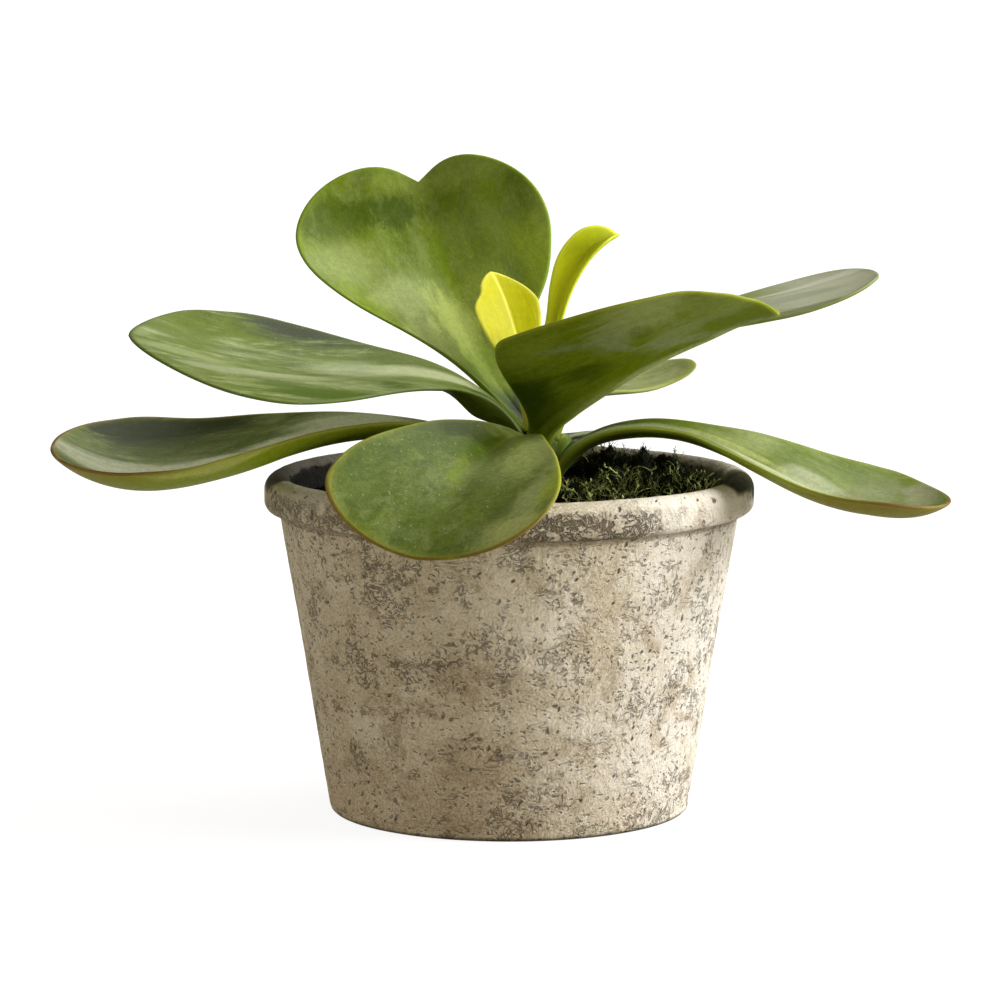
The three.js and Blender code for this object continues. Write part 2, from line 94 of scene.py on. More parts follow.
def arc(r, z, size, start, end, steps=8):
    """Points of a round in a profile; the angles are in degrees."""
    angles = np.radians(np.linspace(start, end, steps + 1))
    return [(r + size * math.cos(a), z + size * math.sin(a)) for a in angles]


def resample(points, step):
    """The same line with points about a step apart."""
    line = np.array(points, float)
    length = np.concatenate([[0], np.cumsum(np.hypot(*np.diff(line, axis=0).T))])
    places = np.linspace(0, length[-1], max(2, round(length[-1] / step) + 1))
    return np.column_stack([np.interp(places, length, line[:, k]) for k in (0, 1)])


def mesh_object(name, points, faces, smooth=True):
    """A mesh object from points in millimetres."""
    mesh = bpy.data.meshes.new(name)
    mesh.from_pydata((np.asarray(points) * MM).tolist(), [], faces)
    mesh.polygons.foreach_set("use_smooth", [smooth] * len(mesh.polygons))
    mesh.update()
    made = bpy.data.objects.new(name, mesh)
    bpy.context.scene.collection.objects.link(made)
    return made


def turned_faces(rows, sides):
    """Faces of a turned solid: rows of points from its lowest pole up to its other pole."""
    faces = []
    for i in range(rows - 1):
        for k in range(sides):
            j = (k + 1) % sides
            faces.append((i * sides + k, i * sides + j, (i + 1) * sides + j, (i + 1) * sides + k))
    first, last = rows * sides, rows * sides + 1
    top = (rows - 1) * sides
    for k in range(sides):
        j = (k + 1) % sides
        faces.append((first, j, k))
        faces.append((last, top + k, top + j))
    return faces


def keep_attribute(piece, name, values):
    """Stores one number for each point, for the material to read."""
    layer = piece.data.attributes.new(name, "FLOAT", "POINT")
    layer.data.foreach_set("value", np.asarray(values, np.float32))


def step(tree, kind, inputs=None, **settings):
    """Adds one node to a tree; an input is a value or another node's output."""
    made = tree.nodes.new(kind)
    for key, value in settings.items():
        setattr(made, key, value)
    for key, value in (inputs or {}).items():
        value = getattr(value, "socket", value)
        if isinstance(value, bpy.types.NodeSocket):
            tree.links.new(value, made.inputs[key])
        else:
            made.inputs[key].default_value = value
    return made


class Tone:
    """A number that varies over a finish; sums and products of tones are tones again."""

    def __init__(self, finish, socket):
        self.finish, self.socket = finish, socket

    def __add__(self, other):
        return self.finish.maths("ADD", self, other)

    def __sub__(self, other):
        return self.finish.maths("SUBTRACT", self, other)

    def __rsub__(self, other):
        return self.finish.maths("SUBTRACT", other, self)

    def __mul__(self, other):
        return self.finish.maths("MULTIPLY", self, other)

    def __or__(self, other):
        return self.finish.maths("MAXIMUM", self, other)

    def edge(self, low, high):
        """0 below low, 1 above high, with a smooth step between (or falling, if low > high)."""
        inputs = {"Value": self, "From Min": low, "From Max": high}
        return self.finish.tone("Result", "MapRange", inputs, interpolation_type="SMOOTHSTEP")

    def line(self, width):
        """A thin line where a cloudy tone passes its middle."""
        return self.finish.maths("ABSOLUTE", self - 0.5, 0.0).edge(width, width * 0.3)


class Finish:
    """A material, painted in coats one over the other."""

    def __init__(self, name, roughness, colour=(0.2, 0.2, 0.2), **settings):
        self.material = bpy.data.materials.new(name)
        self.material.use_nodes = True
        self.tree = self.material.node_tree
        self.shader = self.tree.nodes["Principled BSDF"]
        self.colour = colour
        for label, value in {"Roughness": roughness, **settings}.items():
            self.shader.inputs[label.replace("_", " ")].default_value = value
        self.where = self.node("Object", "TexCoord")

    def node(self, output, kind, inputs=None, **settings):
        return step(self.tree, "ShaderNode" + kind, inputs, **settings).outputs[output]

    def tone(self, *wanted, **settings):
        return Tone(self, self.node(*wanted, **settings))

    def maths(self, operation, a, b):
        return self.tone("Value", "Math", {0: a, 1: b}, operation=operation)

    def moved(self, operation, inputs):
        return self.node("Vector", "VectorMath", inputs, operation=operation)

    def along(self, axis):
        """The distance from the middle of the foot along X, Y or Z, in metres."""
        return self.tone(axis, "SeparateXYZ", {"Vector": self.where})

    def kept(self, name):
        """A number that was stored for each point of the mesh."""
        return self.tone("Fac", "Attribute", attribute_name=name)

    def stretched(self, where, scale):
        return self.node("Vector", "Mapping", {"Vector": where, "Scale": scale})

    def cloud(self, scale, detail=2.0, roughness=0.5, distortion=0.0, where=None):
        """Cloudy noise; scale is in features to the metre."""
        where = self.where if where is None else where
        return self.tone("Fac", "TexNoise", {"Vector": where, "Scale": scale, "Detail": detail,
                                             "Roughness": roughness, "Distortion": distortion})

    def cells(self, where, scale):
        """Random cells: the distance from the middle of each, and a number of its own."""
        found = step(self.tree, "ShaderNodeTexVoronoi", {"Vector": where, "Scale": scale}).outputs
        return Tone(self, found["Distance"]), self.tone("Red", "SeparateColor", {"Color": found["Color"]})

    def dashes(self, where, scale, size, share, stretch=(1, 1, 1.5)):
        """Short ragged pits, one to a cell at most; where they are thick the share is high."""
        warp = self.node("Color", "TexNoise", {"Vector": where, "Scale": scale * 0.9, "Detail": 2.0})
        warp = self.moved("SUBTRACT", {0: warp, 1: (0.5, 0.5, 0.5)})
        warp = self.moved("SCALE", {0: warp, 3: 1.9 / scale})
        bent = self.moved("ADD", {0: where, 1: warp})
        away, chance = self.cells(self.stretched(bent, stretch), scale)
        return away.edge(size, size * 0.62) * (share - chance).edge(0.0, 0.03)

    def mixed(self, share, a, b, blend="MIX"):
        """Colour a, changed to colour b by a share."""
        a, b = [(*colour, 1) if isinstance(colour, tuple) else colour for colour in (a, b)]
        return self.node(2, "Mix", {0: share, 6: a, 7: b}, data_type="RGBA", blend_type=blend)

    def coat(self, share, colour, blend="MIX"):
        self.colour = self.mixed(share, self.colour, colour, blend)

    def link(self, label, value):
        self.tree.links.new(getattr(value, "socket", value), self.shader.inputs[label])

    def done(self, relief=None, strength=1.0, distance=0.001):
        """The finished material, with the last colour, and bumps where it has a relief."""
        self.link("Base Color", self.colour)
        if relief is not None:
            bump = {"Strength": strength, "Distance": distance, "Height": relief}
            self.link("Normal", self.node("Normal", "Bump", bump))
        return self.material


def body_radius(z):
    return FOOT_RADIUS + (NECK_RADIUS - FOOT_RADIUS) * z / NECK_HEIGHT


def pot_profile():
    crest_lift = (RIM_CREST - RIM_SHOULDER) / RIM_ROLL
    crest = [(r, RIM_SHOULDER + (z - RIM_SHOULDER) * crest_lift)
             for r, z in arc(RIM_RADIUS - RIM_ROLL, RIM_SHOULDER, RIM_ROLL, 0, 180, 24)]
    outer = arc(FOOT_RADIUS - FOOT_EDGE, FOOT_EDGE, FOOT_EDGE, -90, 0, 4)
    outer += [(NECK_RADIUS, NECK_HEIGHT), (NECK_RADIUS + 0.5, NECK_HEIGHT + 1.4)]
    under_round = RIM_UNDER_ROUND
    outer += arc(RIM_RADIUS - under_round, RIM_BOTTOM + under_round, under_round, -90, 0)
    outer += crest + [(NECK_RADIUS - WALL + 1.2, NECK_HEIGHT + 4)]
    inner = [(NECK_RADIUS - WALL, NECK_HEIGHT), (body_radius(POT_FLOOR) - WALL, POT_FLOOR + 1)]
    under = [(r, 0) for r in np.linspace(1, FOOT_RADIUS - FOOT_EDGE - 1, 12)]
    floor = [(r, POT_FLOOR) for r in np.linspace(body_radius(POT_FLOOR) - WALL - 1, 1, 8)]
    return np.concatenate([under, resample(outer, POT_STEP), resample(inner, INNER_STEP), floor])


def ramp(value, start, end):
    """0 at the start and 1 at the end, held there beyond them."""
    return min(max((value - start) / (end - start), 0), 1)


def stained(bearing, patch, outward, inward=None):
    """1 in a patch of the rim, and 0 beyond it, with a soft border of so many degrees."""
    inward = outward if inward is None else inward
    return ramp(abs(bearing - patch[0]), patch[1] + outward, patch[1] - inward)


def pit_at(place):
    """How deep a pit is at a place of the cement's skin, from 0 to 1."""
    warp = noise.noise_vector(place / 1.9) * 0.55
    near, centres = noise.voronoi((place + warp) / PIT_CELL)
    chance = noise.cell(centres[0] * 37.1) * 0.5 + 0.5
    patch = noise.noise(place / 17) + 0.6 * noise.noise(place / 6.5)
    if chance > 0.2 + 0.6 * patch:
        return 0.0
    size = 0.2 + 0.3 * chance
    return max(0.0, 1 - (near[0] / size) ** 2)


def make_pot():
    noise.seed_set(PIT_SEED)
    profile = pot_profile()
    slope = np.gradient(profile, axis=0)
    slope /= np.hypot(*slope.T)[:, None] + 1e-9
    turns = np.arange(POT_SIDES) * 2 * math.pi / POT_SIDES
    points, marks = [], []
    highest = int(np.argmax(profile[:, 1]))
    for row, ((r, z), (along_r, along_z)) in enumerate(zip(profile, slope)):
        inside = row > highest
        skin = z > FOOT_EDGE if not inside else z > NECK_HEIGHT + 3
        for turn in turns:
            east, north = math.cos(turn), math.sin(turn)
            place = Vector((r * east, r * north, z))
            push, pit = 0.0, 0.0
            if skin:
                pit = pit_at(place) * (0.45 if inside else 1)
                push = (SWAY * noise.noise(place / SWAY_SIZE)
                        + GRAIN * noise.noise(place / GRAIN_SIZE) - PIT_DEPTH * pit)
            across = r + push * along_z
            points.append((across * east, across * north, z - push * along_r))
            damp, wet, carving = 0.0, 0.0, 0.0
            if z > RIM_BOTTOM:
                bearing = (math.degrees(turn) + 40) % 360 - 40 + 9 * noise.noise(place / 9)
                high = ramp(z + 1.2 * noise.noise(place / 5), RIM_SHOULDER + 0.4, RIM_SHOULDER + 2.2)
                drip = ramp(z + 1.5 * noise.noise(place / 5), RIM_SHOULDER - 4.5, RIM_SHOULDER - 1)
                wet = max(high * stained(bearing, RIGHT_STAIN, 2), drip * stained(bearing, DRIP, 2))
                damp = max(0.86 * high * stained(bearing, LEFT_STAIN, 4),
                           0.85 * high * (0.75 * stained(bearing, BACK_STAIN, 12, 8)), wet)
                carving = max(patch[2] * stained(bearing, patch, 8) for patch in CARVED)
            # Inside the pot the wall is painted dark below the crest, as painted shade, a little less
            # towards +X, the lit side.
            if inside:
                below = ramp(z + noise.noise(place / 6), RIM_CREST + 0.2, RIM_CREST - 2.2)
                damp = max(damp, below * (0.96 - 0.09 * east))
            marks.append((pit, damp, wet, carving))
    points += [(0, 0, 0), (0, 0, POT_FLOOR)]
    pot = mesh_object("pot_cement", points, turned_faces(len(profile), POT_SIDES))
    marks += [(0, 0, 0, 0)] * 2
    for name, values in zip(("pit", "damp", "wet", "carved"), zip(*marks)):
        keep_attribute(pot, name, values)
    return pot


def cement():
    skin = Finish("aged_cement", 0.8, CEMENT_MID, Specular_IOR_Level=0.06)
    cloud, coat, where = skin.cloud, skin.coat, skin.where
    east, height = skin.along("X"), skin.along("Z")
    layered = skin.stretched(where, (1, 1, 2.6))
    cloudy = cloud(24, 7, 0.66)
    coat(cloudy.edge(0.36, 0.64), CEMENT_LIGHT)
    coat(cloud(42, 7, 0.7, 0.3, layered).edge(0.6, 0.34) * 0.42, CEMENT_DARK)
    # Painted light: the right side is painted paler where the lamp falls, and the left side a little paler
    # too.
    coat((east + cloudy * 0.08).edge(0.05, 0.1) * 0.75, CEMENT_PAINTED_HIGHLIGHT)
    coat(east.edge(-0.035, -0.07) * 0.5, CEMENT_LIGHT)
    coat(cloud(70, 6, 0.7, 0.4).edge(0.5, 0.64) * 0.58, CEMENT_DARK)
    # Darker towards the foot; the upper part is painted paler, as painted light.
    coat(height.edge(0.06, 0.0) * 0.35, CEMENT_DARK)
    coat(height.edge(0.05, 0.1) * 0.35, CEMENT_LIGHT)
    grain = cloud(1300, 4, 0.8)
    coat(0.7, skin.mixed(grain.edge(0.32, 0.68), GRAIN_DARK, GRAIN_LIGHT), "OVERLAY")

    # Pits with painted highlights beside them, in patches; hair cracks and scrapes between them.
    patches = cloud(55, 5, 0.65).edge(0.4, 0.62)
    thick = patches * 0.26 + 0.16

    def pits(at):
        return skin.dashes(at, 560, 0.38, thick) | skin.dashes(at, 300, 0.23, thick * 1.1)

    pores = pits(where)
    pit_highlights = pits(skin.moved("ADD", {0: where, 1: HIGHLIGHT_OFFSET})) - pores
    small = cloud(1100, 2, 0.5, 0.8) - patches * 0.03
    pores = pores | small.edge(0.3, 0.24) * 0.3
    cracks = cloud(75, 4, 0.6, 0.5, layered).line(0.014) * cloud(120, 3).edge(0.5, 0.62)
    broken = cloud(320, 2)
    scraped = broken.edge(0.44, 0.52) * cloud(60, 3, 0.6).edge(0.53, 0.6)
    scraped = cloud(230, 3, 0.6, 1.6).line(0.045) * scraped * height.edge(RIM_STARTS, 0.0925)

    # The rim is smooth and sparsely pitted, but rough and cut up in places.
    on_rim = height.edge(0.0915, RIM_STARTS) * height.edge(0.102, 0.0995)
    smooth_rim = height.edge(RIM_STARTS, 0.096)
    rim_patch = skin.kept("carved") * cloud(60, 2).edge(0.3, 0.4)
    carved = cloud(310, 3.0, 0.65, 2.0).line(0.085) * broken.edge(0.38, 0.46) * (on_rim * rim_patch)
    sparse = skin.dashes(where, 230, 0.28, 0.42, (1, 1, 1)) * smooth_rim * height.edge(0.1025, 0.101)
    hollow = (pores | cracks * 0.6) * (1.0 - smooth_rim * 0.85) | (scraped | carved)
    hollow = hollow | sparse | skin.kept("pit").edge(0.1, 0.75)
    coat(rim_patch * (on_rim * 0.34), CEMENT_DARK)
    # A painted shade band in the crease under the rim's overhang.
    coat(height.edge(0.0905, 0.0916) * height.edge(0.0934, 0.0925) * 0.5, PIT_BROWN)
    # Painted highlights beside the pits.
    coat(pit_highlights * 0.55, CEMENT_PAINTED_HIGHLIGHT)
    coat(hollow * 0.5, PIT_BROWN)
    coat((carved | sparse) * 0.5, CARVED_BROWN)

    # Damp stains on the rim, and painted shade over the inside of the pot: both darken the cement and make
    # it glossier.
    damp = skin.kept("damp")
    coat(damp * 0.985, skin.mixed(skin.kept("wet"), DAMP_AND_SHADE_DARK, WET_OLIVE))
    # A painted contact shadow: a thin dark ring at the foot.
    coat(height.edge(0.0018, 0.0004) * 0.8, DAMP_AND_SHADE_DARK)
    skin.link("Roughness", 0.85 - damp * 0.3)
    uneven = cloud(190, 4, 0.6, 0.8)
    return skin.done(grain * 0.32 - hollow * 1.3 + uneven * 1.2, 1.0, 0.0011)


pot = make_pot()
pot.data.materials.append(cement())
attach(pot, "root")
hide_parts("pot")

# ---- soil ----
# Damp, near-black potting soil, filled to just under the rim. It is heaped a little
# round the stem and at the back right, and crumbs lie loose on it.
SOIL_LEVEL = 96
CROWN_MOUND, CROWN_SPREAD = 4.6, 18
BACK_MOUND, BACK_SPREAD, BACK_AT = 3, 21, (38, 38)
SOIL_RADIUS = 64
SOIL_BOTTOM = 12
SOIL_SIDES, SOIL_RINGS = 180, 60
STEM_AT = (9, 0)
SOIL_BLACK = (0.003, 0.0025, 0.0015)
SOIL_BROWN = (0.012, 0.009, 0.005)
FIBRE_BROWN = (0.09, 0.065, 0.035)
CRUMBS = {"Density": 190000.0, "Smallest": 0.35 * MM, "Largest": 1.25 * MM, "Seed": 5}
UPWARD = 0.35                      # how level a face is that things lie or grow on


def soil_height(x, y):
    def hill(rise, spread, at):
        return rise * math.exp(-((x - at[0]) ** 2 + (y - at[1]) ** 2) / (2 * spread ** 2))
    place = Vector((x, y, 3.7))
    mounds = hill(CROWN_MOUND, CROWN_SPREAD, STEM_AT) + hill(BACK_MOUND, BACK_SPREAD, BACK_AT)
    lumps = 0.8 * noise.noise(place / 9) + 0.5 * noise.noise(place / 3.5) + 0.3 * noise.noise(place / 1.4)
    return SOIL_LEVEL + mounds + lumps


def make_soil():
    rings = [(r, SOIL_BOTTOM) for r in (1, 25, 45)]
    rings += [(body_radius(z) - WALL - 1, z) for z in (SOIL_BOTTOM + 2, 50, SOIL_LEVEL - 4)]
    rows = [(r, z, False) for r, z in rings]
    rows += [(r, 0, True) for r in np.linspace(SOIL_RADIUS, 0.8, SOIL_RINGS)]
    points = []
    for r, z, top in rows:
        for k in range(SOIL_SIDES):
            turn = k * 2 * math.pi / SOIL_SIDES
            x, y = r * math.cos(turn), r * math.sin(turn)
            points.append((x, y, soil_height(x, y) if top else z))
    points += [(0, 0, SOIL_BOTTOM), (0, 0, soil_height(0, 0))]
    return mesh_object("soil_bed", points, turned_faces(len(rows), SOIL_SIDES))


def earth():
    skin = Finish("damp_soil", 0.9, SOIL_BLACK, Specular_IOR_Level=0.03)
    lumps = skin.cloud(420, 5, 0.7)
    skin.coat(lumps.edge(0.42, 0.7), SOIL_BROWN)
    fibres = skin.cloud(300, 3, 0.6, 1.5, skin.stretched(skin.where, (1, 4, 1)))
    skin.coat(fibres.edge(0.62, 0.72) * 0.4, FIBRE_BROWN)
    return skin.done(lumps, 0.8, 0.0008)


def new_tree(name, sizes):
    """A Geometry Nodes tree with a geometry input and named number inputs."""
    tree = bpy.data.node_groups.new(name, "GeometryNodeTree")
    tree.interface.new_socket("Geometry", in_out="INPUT", socket_type="NodeSocketGeometry")
    for label, value in sizes.items():
        kind = "NodeSocketInt" if isinstance(value, int) else "NodeSocketFloat"
        tree.interface.new_socket(label, in_out="INPUT", socket_type=kind).default_value = value
    tree.interface.new_socket("Geometry", in_out="OUTPUT", socket_type="NodeSocketGeometry")
    return tree, tree.nodes.new("NodeGroupInput").outputs, tree.nodes.new("NodeGroupOutput")


def apply_tree(piece, tree, sizes):
    """Runs a tree on a piece and keeps the result as the piece's plain mesh."""
    modifier = piece.modifiers.new("made", "NODES")
    modifier.node_group = tree
    for item in tree.interface.items_tree:
        if item.in_out == "INPUT" and item.name in sizes:
            modifier[item.identifier] = sizes[item.name]
    ready = piece.evaluated_get(bpy.context.evaluated_depsgraph_get())
    mesh = bpy.data.meshes.new_from_object(ready)
    piece.modifiers.clear()
    piece.data = mesh
    mesh.name = piece.name


def chance(tree, low, high, seed):
    """A random number for each point, or a random triple between two triples."""
    if isinstance(low, tuple):
        inputs, kind, output = {0: low, 1: high, "Seed": seed}, "FLOAT_VECTOR", 0
    else:
        inputs, kind, output = {2: low, 3: high, "Seed": seed}, "FLOAT", 1
    return step(tree, "FunctionNodeRandomValue", inputs, data_type=kind).outputs[output]


def scattered(tree, given, density, seed, shape, turn, size):
    """Copies of a shape on random points of the faces that look upward."""
    up = step(tree, "GeometryNodeInputNormal").outputs[0]
    facing = step(tree, "ShaderNodeVectorMath", {0: up, 1: (0, 0, 1)}, operation="DOT_PRODUCT")
    top = step(tree, "FunctionNodeCompare", {0: facing.outputs["Value"], 1: UPWARD},
               operation="GREATER_THAN")
    points = step(tree, "GeometryNodeDistributePointsOnFaces",
                  {"Mesh": given["Geometry"], "Selection": top.outputs[0], "Density": density, "Seed": seed})
    return step(tree, "GeometryNodeInstanceOnPoints",
                {"Points": points.outputs["Points"], "Instance": shape, "Rotation": turn,
                 "Scale": size}).outputs["Instances"]


def grown_on(tree, given, result, finish, growths):
    """Makes the copies real, joins them to their piece, and gives all of it one finish."""
    joined = step(tree, "GeometryNodeJoinGeometry")
    for growth in growths:
        real = step(tree, "GeometryNodeRealizeInstances", {"Geometry": growth})
        tree.links.new(real.outputs["Geometry"], joined.inputs["Geometry"])
    tree.links.new(given["Geometry"], joined.inputs["Geometry"])
    done = step(tree, "GeometryNodeSetMaterial",
                {"Geometry": joined.outputs["Geometry"], "Material": finish})
    tree.links.new(done.outputs["Geometry"], result.inputs["Geometry"])
    return tree


def crumb_tree(finish):
    tree, given, result = new_tree("loose_crumbs", CRUMBS)
    crumb = step(tree, "GeometryNodeMeshIcoSphere", {"Radius": 1.0, "Subdivisions": 1})
    size = chance(tree, given["Smallest"], given["Largest"], given["Seed"])
    shape = chance(tree, (0.5, 0.6, 0.45), (1.1, 1.0, 0.9), 3)
    scaled = step(tree, "ShaderNodeVectorMath", {0: shape, "Scale": size}, operation="SCALE")
    turn = chance(tree, (0, 0, 0), (6.28, 6.28, 6.28), 4)
    crumbs = scattered(tree, given, given["Density"], given["Seed"], crumb.outputs["Mesh"], turn,
                       scaled.outputs[0])
    return grown_on(tree, given, result, finish, [crumbs])


soil = make_soil()
apply_tree(soil, crumb_tree(earth()), CRUMBS)
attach(soil, "root")
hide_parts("soil")

# ---- stem ----
# A short fleshy stem that tapers upward, with a faint ring where each leaf sits. It
# stands in the soil and is nearly hidden by the stalks.
STEM_PROFILE = [(7, 86), (6.6, 104), (5.6, 112), (4.5, 117.5), (2.6, 119)]
STEM_TOP = 119.4
STEM_SIDES = 72
STEM_STEP = 0.5
STEM_GREEN = (0.035, 0.055, 0.004)
STEM_PALE = (0.10, 0.13, 0.012)


def make_stem():
    profile = resample(STEM_PROFILE, STEM_STEP)
    points = []
    for r, z in profile:
        for k in range(STEM_SIDES):
            turn = k * 2 * math.pi / STEM_SIDES
            ring = 0.12 * math.sin(z * 1.9 + 1.5 * math.sin(turn))
            swell = r + ring + 0.2 * noise.noise(Vector((math.cos(turn), math.sin(turn), z / 6)) * 1.5)
            points.append((STEM_AT[0] + swell * math.cos(turn), STEM_AT[1] + swell * math.sin(turn), z))
    points += [(*STEM_AT, STEM_PROFILE[0][1]), (*STEM_AT, STEM_TOP)]
    return mesh_object("stem_flesh", points, turned_faces(len(profile), STEM_SIDES))


def stem_skin():
    skin = Finish("stem_skin", 0.5, STEM_GREEN)
    streaks = skin.cloud(500, 4, 0.6, where=skin.stretched(skin.where, (1, 1, 0.25)))
    skin.coat(streaks.edge(0.35, 0.7), STEM_PALE)
    return skin.done(streaks, 0.3, 0.0003)


stem = make_stem()
stem.data.materials.append(stem_skin())
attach(stem, "root")
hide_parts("stem")

# ---- leaves ----
# Thick, waxy blades that widen from a stalk to a spoon, each grown out of the stem.
# A midrib runs down each blade, sunk above and raised below; the margin is rounded and pale,
# partly painted rim light, and reddens towards the tip where the leaf has had more sun. The grey bloom
# is partly painted sheen, and patches of painted highlight and shade lie among the leaves' own marks.
BODY_ROWS, TIP_ROWS = 56, 26
ACROSS_HALF = 22                   # columns on each side of the midrib
SPINE_STEPS = 60
ROOT_DEPTH = 4
EDGE_FALL = 2.5
ROOT_FADE = 16
MATURE = {"root": 4.5, "blade": 2.4, "edge": 1.1}
YOUNG = {"root": 3.2, "blade": 1.8, "edge": 0.9}
MARGIN_ROUND = 1.0
RIB_SUNK, RIB_SUNK_WIDTH = 0.3, 1.0
RIB_RAISED, RIB_RAISED_WIDTH = 0.45, 1.7
WAVE, WAVE_SIZE = 0.55, 26
BLADE_UNIT = 100                   # the blade map counts in tenths of a metre

LEAVES = {
    "leaf_heart": dict(
        around=116, up=114.3, length=106, heading=[127, 136, 120], pitch=[34, 56, 74], roll=[5, -33],
        wide=[45.5, 37.5], neck=3.8, at=0.72, slim=1.3, fill=2.1,
        fold=4, curl_left=[42, 17], curl_right=[19, 16], notch=9.5, notch_width=9,
        more_left=[0, 0, 0.6, 0.9, 3.6, 3.2, 1.7, -0.5, -0.5],
        more_right=[0, 0, 0, 0, 2, 0.7, 0, -0.2, 0],
        ridges=[(0, 5, 0.8, 0.1, 1.1), (18, 7, -0.9, 0.4, 1.0), (-17, 8, -0.9, 0.5, 1.1)]),
    "leaf_upper_left": dict(
        around=177, up=108.5, length=139.9, heading=[201, 208, 196], pitch=[81, -46, 24, 17], roll=[-7, -20],
        wide=[35, 25], neck=3.3, at=0.7, slim=1.7, fill=1.65,
        fold=4, curl_left=[3, 0], curl_right=[24, 32],
        more_left=[0, 0, 2, 4.6, 1.8, 0, 0.8, 0, 1],
        more_right=[0, 0.6, 3.2, 3.2, 2.6, 1.5, 0.5, 2.5, 1],
        keel=(4.2, 0.17, 0.07),
        ridges=[(3, 5, 0.8, 0.15, 0.9), (16, 6, -0.9, 0.3, 0.9), (-10, 7, 0.7, 0.3, 1.0)]),
    "leaf_lower_left": dict(
        around=190, up=104, length=152.5, heading=[185, 190, 195], pitch=[40.3, -20, -47, 45], roll=[1, -21],
        wide=[28.5, 31.5], neck=4.2, at=0.77, slim=1.1, fill=2.15,
        fold=3, curl_left=[47, 54], curl_right=[15, 19],
        more_left=[0, 0, 0, -1.5, -1, 0, 0, 0, 0],
        more_right=[0, 0, 0, 0.8, 1.2, 1.4, 2.4, 0, -1],
        ridges=[(6, 5, -0.8, 0.1, 0.8), (-8, 6, 0.8, 0.3, 1.0)]),
    "leaf_front": dict(
        around=246, up=108, length=115.5, heading=[267, 243, 243], pitch=[36, -24, -36], roll=[-13, -6],
        wide=[37, 34.5], neck=3.9, at=0.83, slim=1.65, fill=2.15,
        fold=5, curl_left=[12, 21], curl_right=[18, 26],
        more_left=[0, 0, 0, 0, 0, -0.7, -0.8, -0.8, 0],
        more_right=[0, 0, 0, 1.4, 1.6, 1.3, 1.3, 1.3, 0.5],
        ridges=[(0, 4, 0.7, 0.1, 0.9), (16, 7, 0.8, 0.3, 1.0), (-15, 8, -0.7, 0.4, 1.0)]),
    "leaf_right_near": dict(
        around=281, up=113, length=98, heading=[274, 368, 344], pitch=[31, 38, 11], roll=[9, -5],
        wide=[20, 42], neck=5.1, at=0.38, slim=1.85, fill=1.95,
        fold=24, curl_left=[23, 20], curl_right=[31, 0],
        more_right=[0, 0, 0, 0, 0, 0.8, 0.6, 0, 0],
        ridges=[(0, 2, 0.9, 0.1, 0.9), (-9, 4, -1.3, 0.25, 0.9), (-16, 3, 1.0, 0.2, 1.0),
                (-29, 5, -0.9, 0.3, 0.9)]),
    "leaf_right_far": dict(
        around=24, up=114, length=118.5, heading=[19, 13, -11], pitch=[72, -26, 32], roll=[-4, 5],
        wide=[23.5, 24.5], neck=3.4, at=0.74, slim=1.3, fill=2.25,
        fold=3, curl_left=[6, 16], curl_right=[6, 0],
        more_left=[0, 0, 0, 0, 0, 0, 2.5, 4, 3],
        more_right=[0, 0, 0, 0, 0, 1, -0.5, -2, -2],
        ridges=[(0, 2, 0.6, 0.2, 0.9), (9, 3, -0.5, 0.4, 1.0), (-9, 3, 0.5, 0.4, 1.0)]),
    "leaf_lower_right": dict(
        around=353, up=102, length=135, heading=[345, 335, 351], pitch=[60.7, -30, -63, 31], roll=[13, 6],
        wide=[23, 24], neck=4.2, at=0.82, slim=1.2, fill=1.9,
        fold=3, curl_left=[18, 25], curl_right=[22, 42],
        more_left=[0, 0, -2, -4, -2, 0.8, 3.2, 2, 1.5],
        more_right=[0, 0, -0.5, -1.5, 2, 1.5, 0, 0, 0],
        ridges=[(0, 1.8, 1.1, 0.1, 0.8), (-8, 5, -1.0, 0.3, 0.95), (10, 6, -0.7, 0.4, 0.95)]),
    "leaf_back_right": dict(
        around=66, up=106.5, length=83.5, heading=[91, 49, 3], pitch=[64, -40, 32], roll=[-16, 18],
        wide=[13, 10.5], neck=3, at=0.66, slim=1.35, fill=2.35,
        fold=3, curl_left=[7, 12], curl_right=[14, 5],
        more_right=[0, 0, 0, 0, -0.4, -0.3, -1.2, -2.2, -0.8]),
    "leaf_back_low": dict(
        around=96, up=103.5, length=93, heading=[94, 77, 72], pitch=[19, -16, -3], roll=[-7, -4],
        wide=[14, 15.5], neck=3.7, at=0.64, slim=1.3, fill=2.2,
        fold=2, curl_left=[6, 6], curl_right=[9, 5]),
    "leaf_young_broad": dict(
        around=215, up=117, start=2.7, length=52.5, heading=[119, 121, 133], pitch=[79, 64, 53],
        roll=[-4, -5], wide=[12, 10.5], neck=2.5, at=0.75, slim=1.5, fill=1.4,
        fold=5, curl_left=[0, 1], curl_right=[13, 25],
        more_right=[0, 0, 0, 0, 0, 0, 0.6, 0.8, 0], thick=YOUNG, nick=(0.865, 0.16, 0.05)),
    "leaf_young_curled": dict(
        around=74, up=116.8, start=3.6, length=71.5, heading=[74, 56, 31], pitch=[70, 86.5, 15],
        roll=[-11, 17], wide=[6.7, 4], neck=2.4, at=0.85, slim=1.45, fill=1.9,
        fold=30, curl_left=[11, 21], curl_right=[13, 12], thick=YOUNG,
        more_left=[0, 0, 0, -0.3, -0.9, 0, 1.2, 1.3, 1],
        more_right=[0, 0, 0, 0, 0.4, 0.8, 2.4, 4.2, 4]),
    "leaf_bud": dict(
        around=41, up=106, start=7.9, length=13.5, heading=[35, 60, 105], pitch=[56, 38, -28],
        roll=[20, 30], wide=[4.1, 4.1], neck=1.8, at=0.55, slim=1.3, fill=2,
        fold=25, curl_left=[10, 15], curl_right=[10, 15], thick=YOUNG),
}


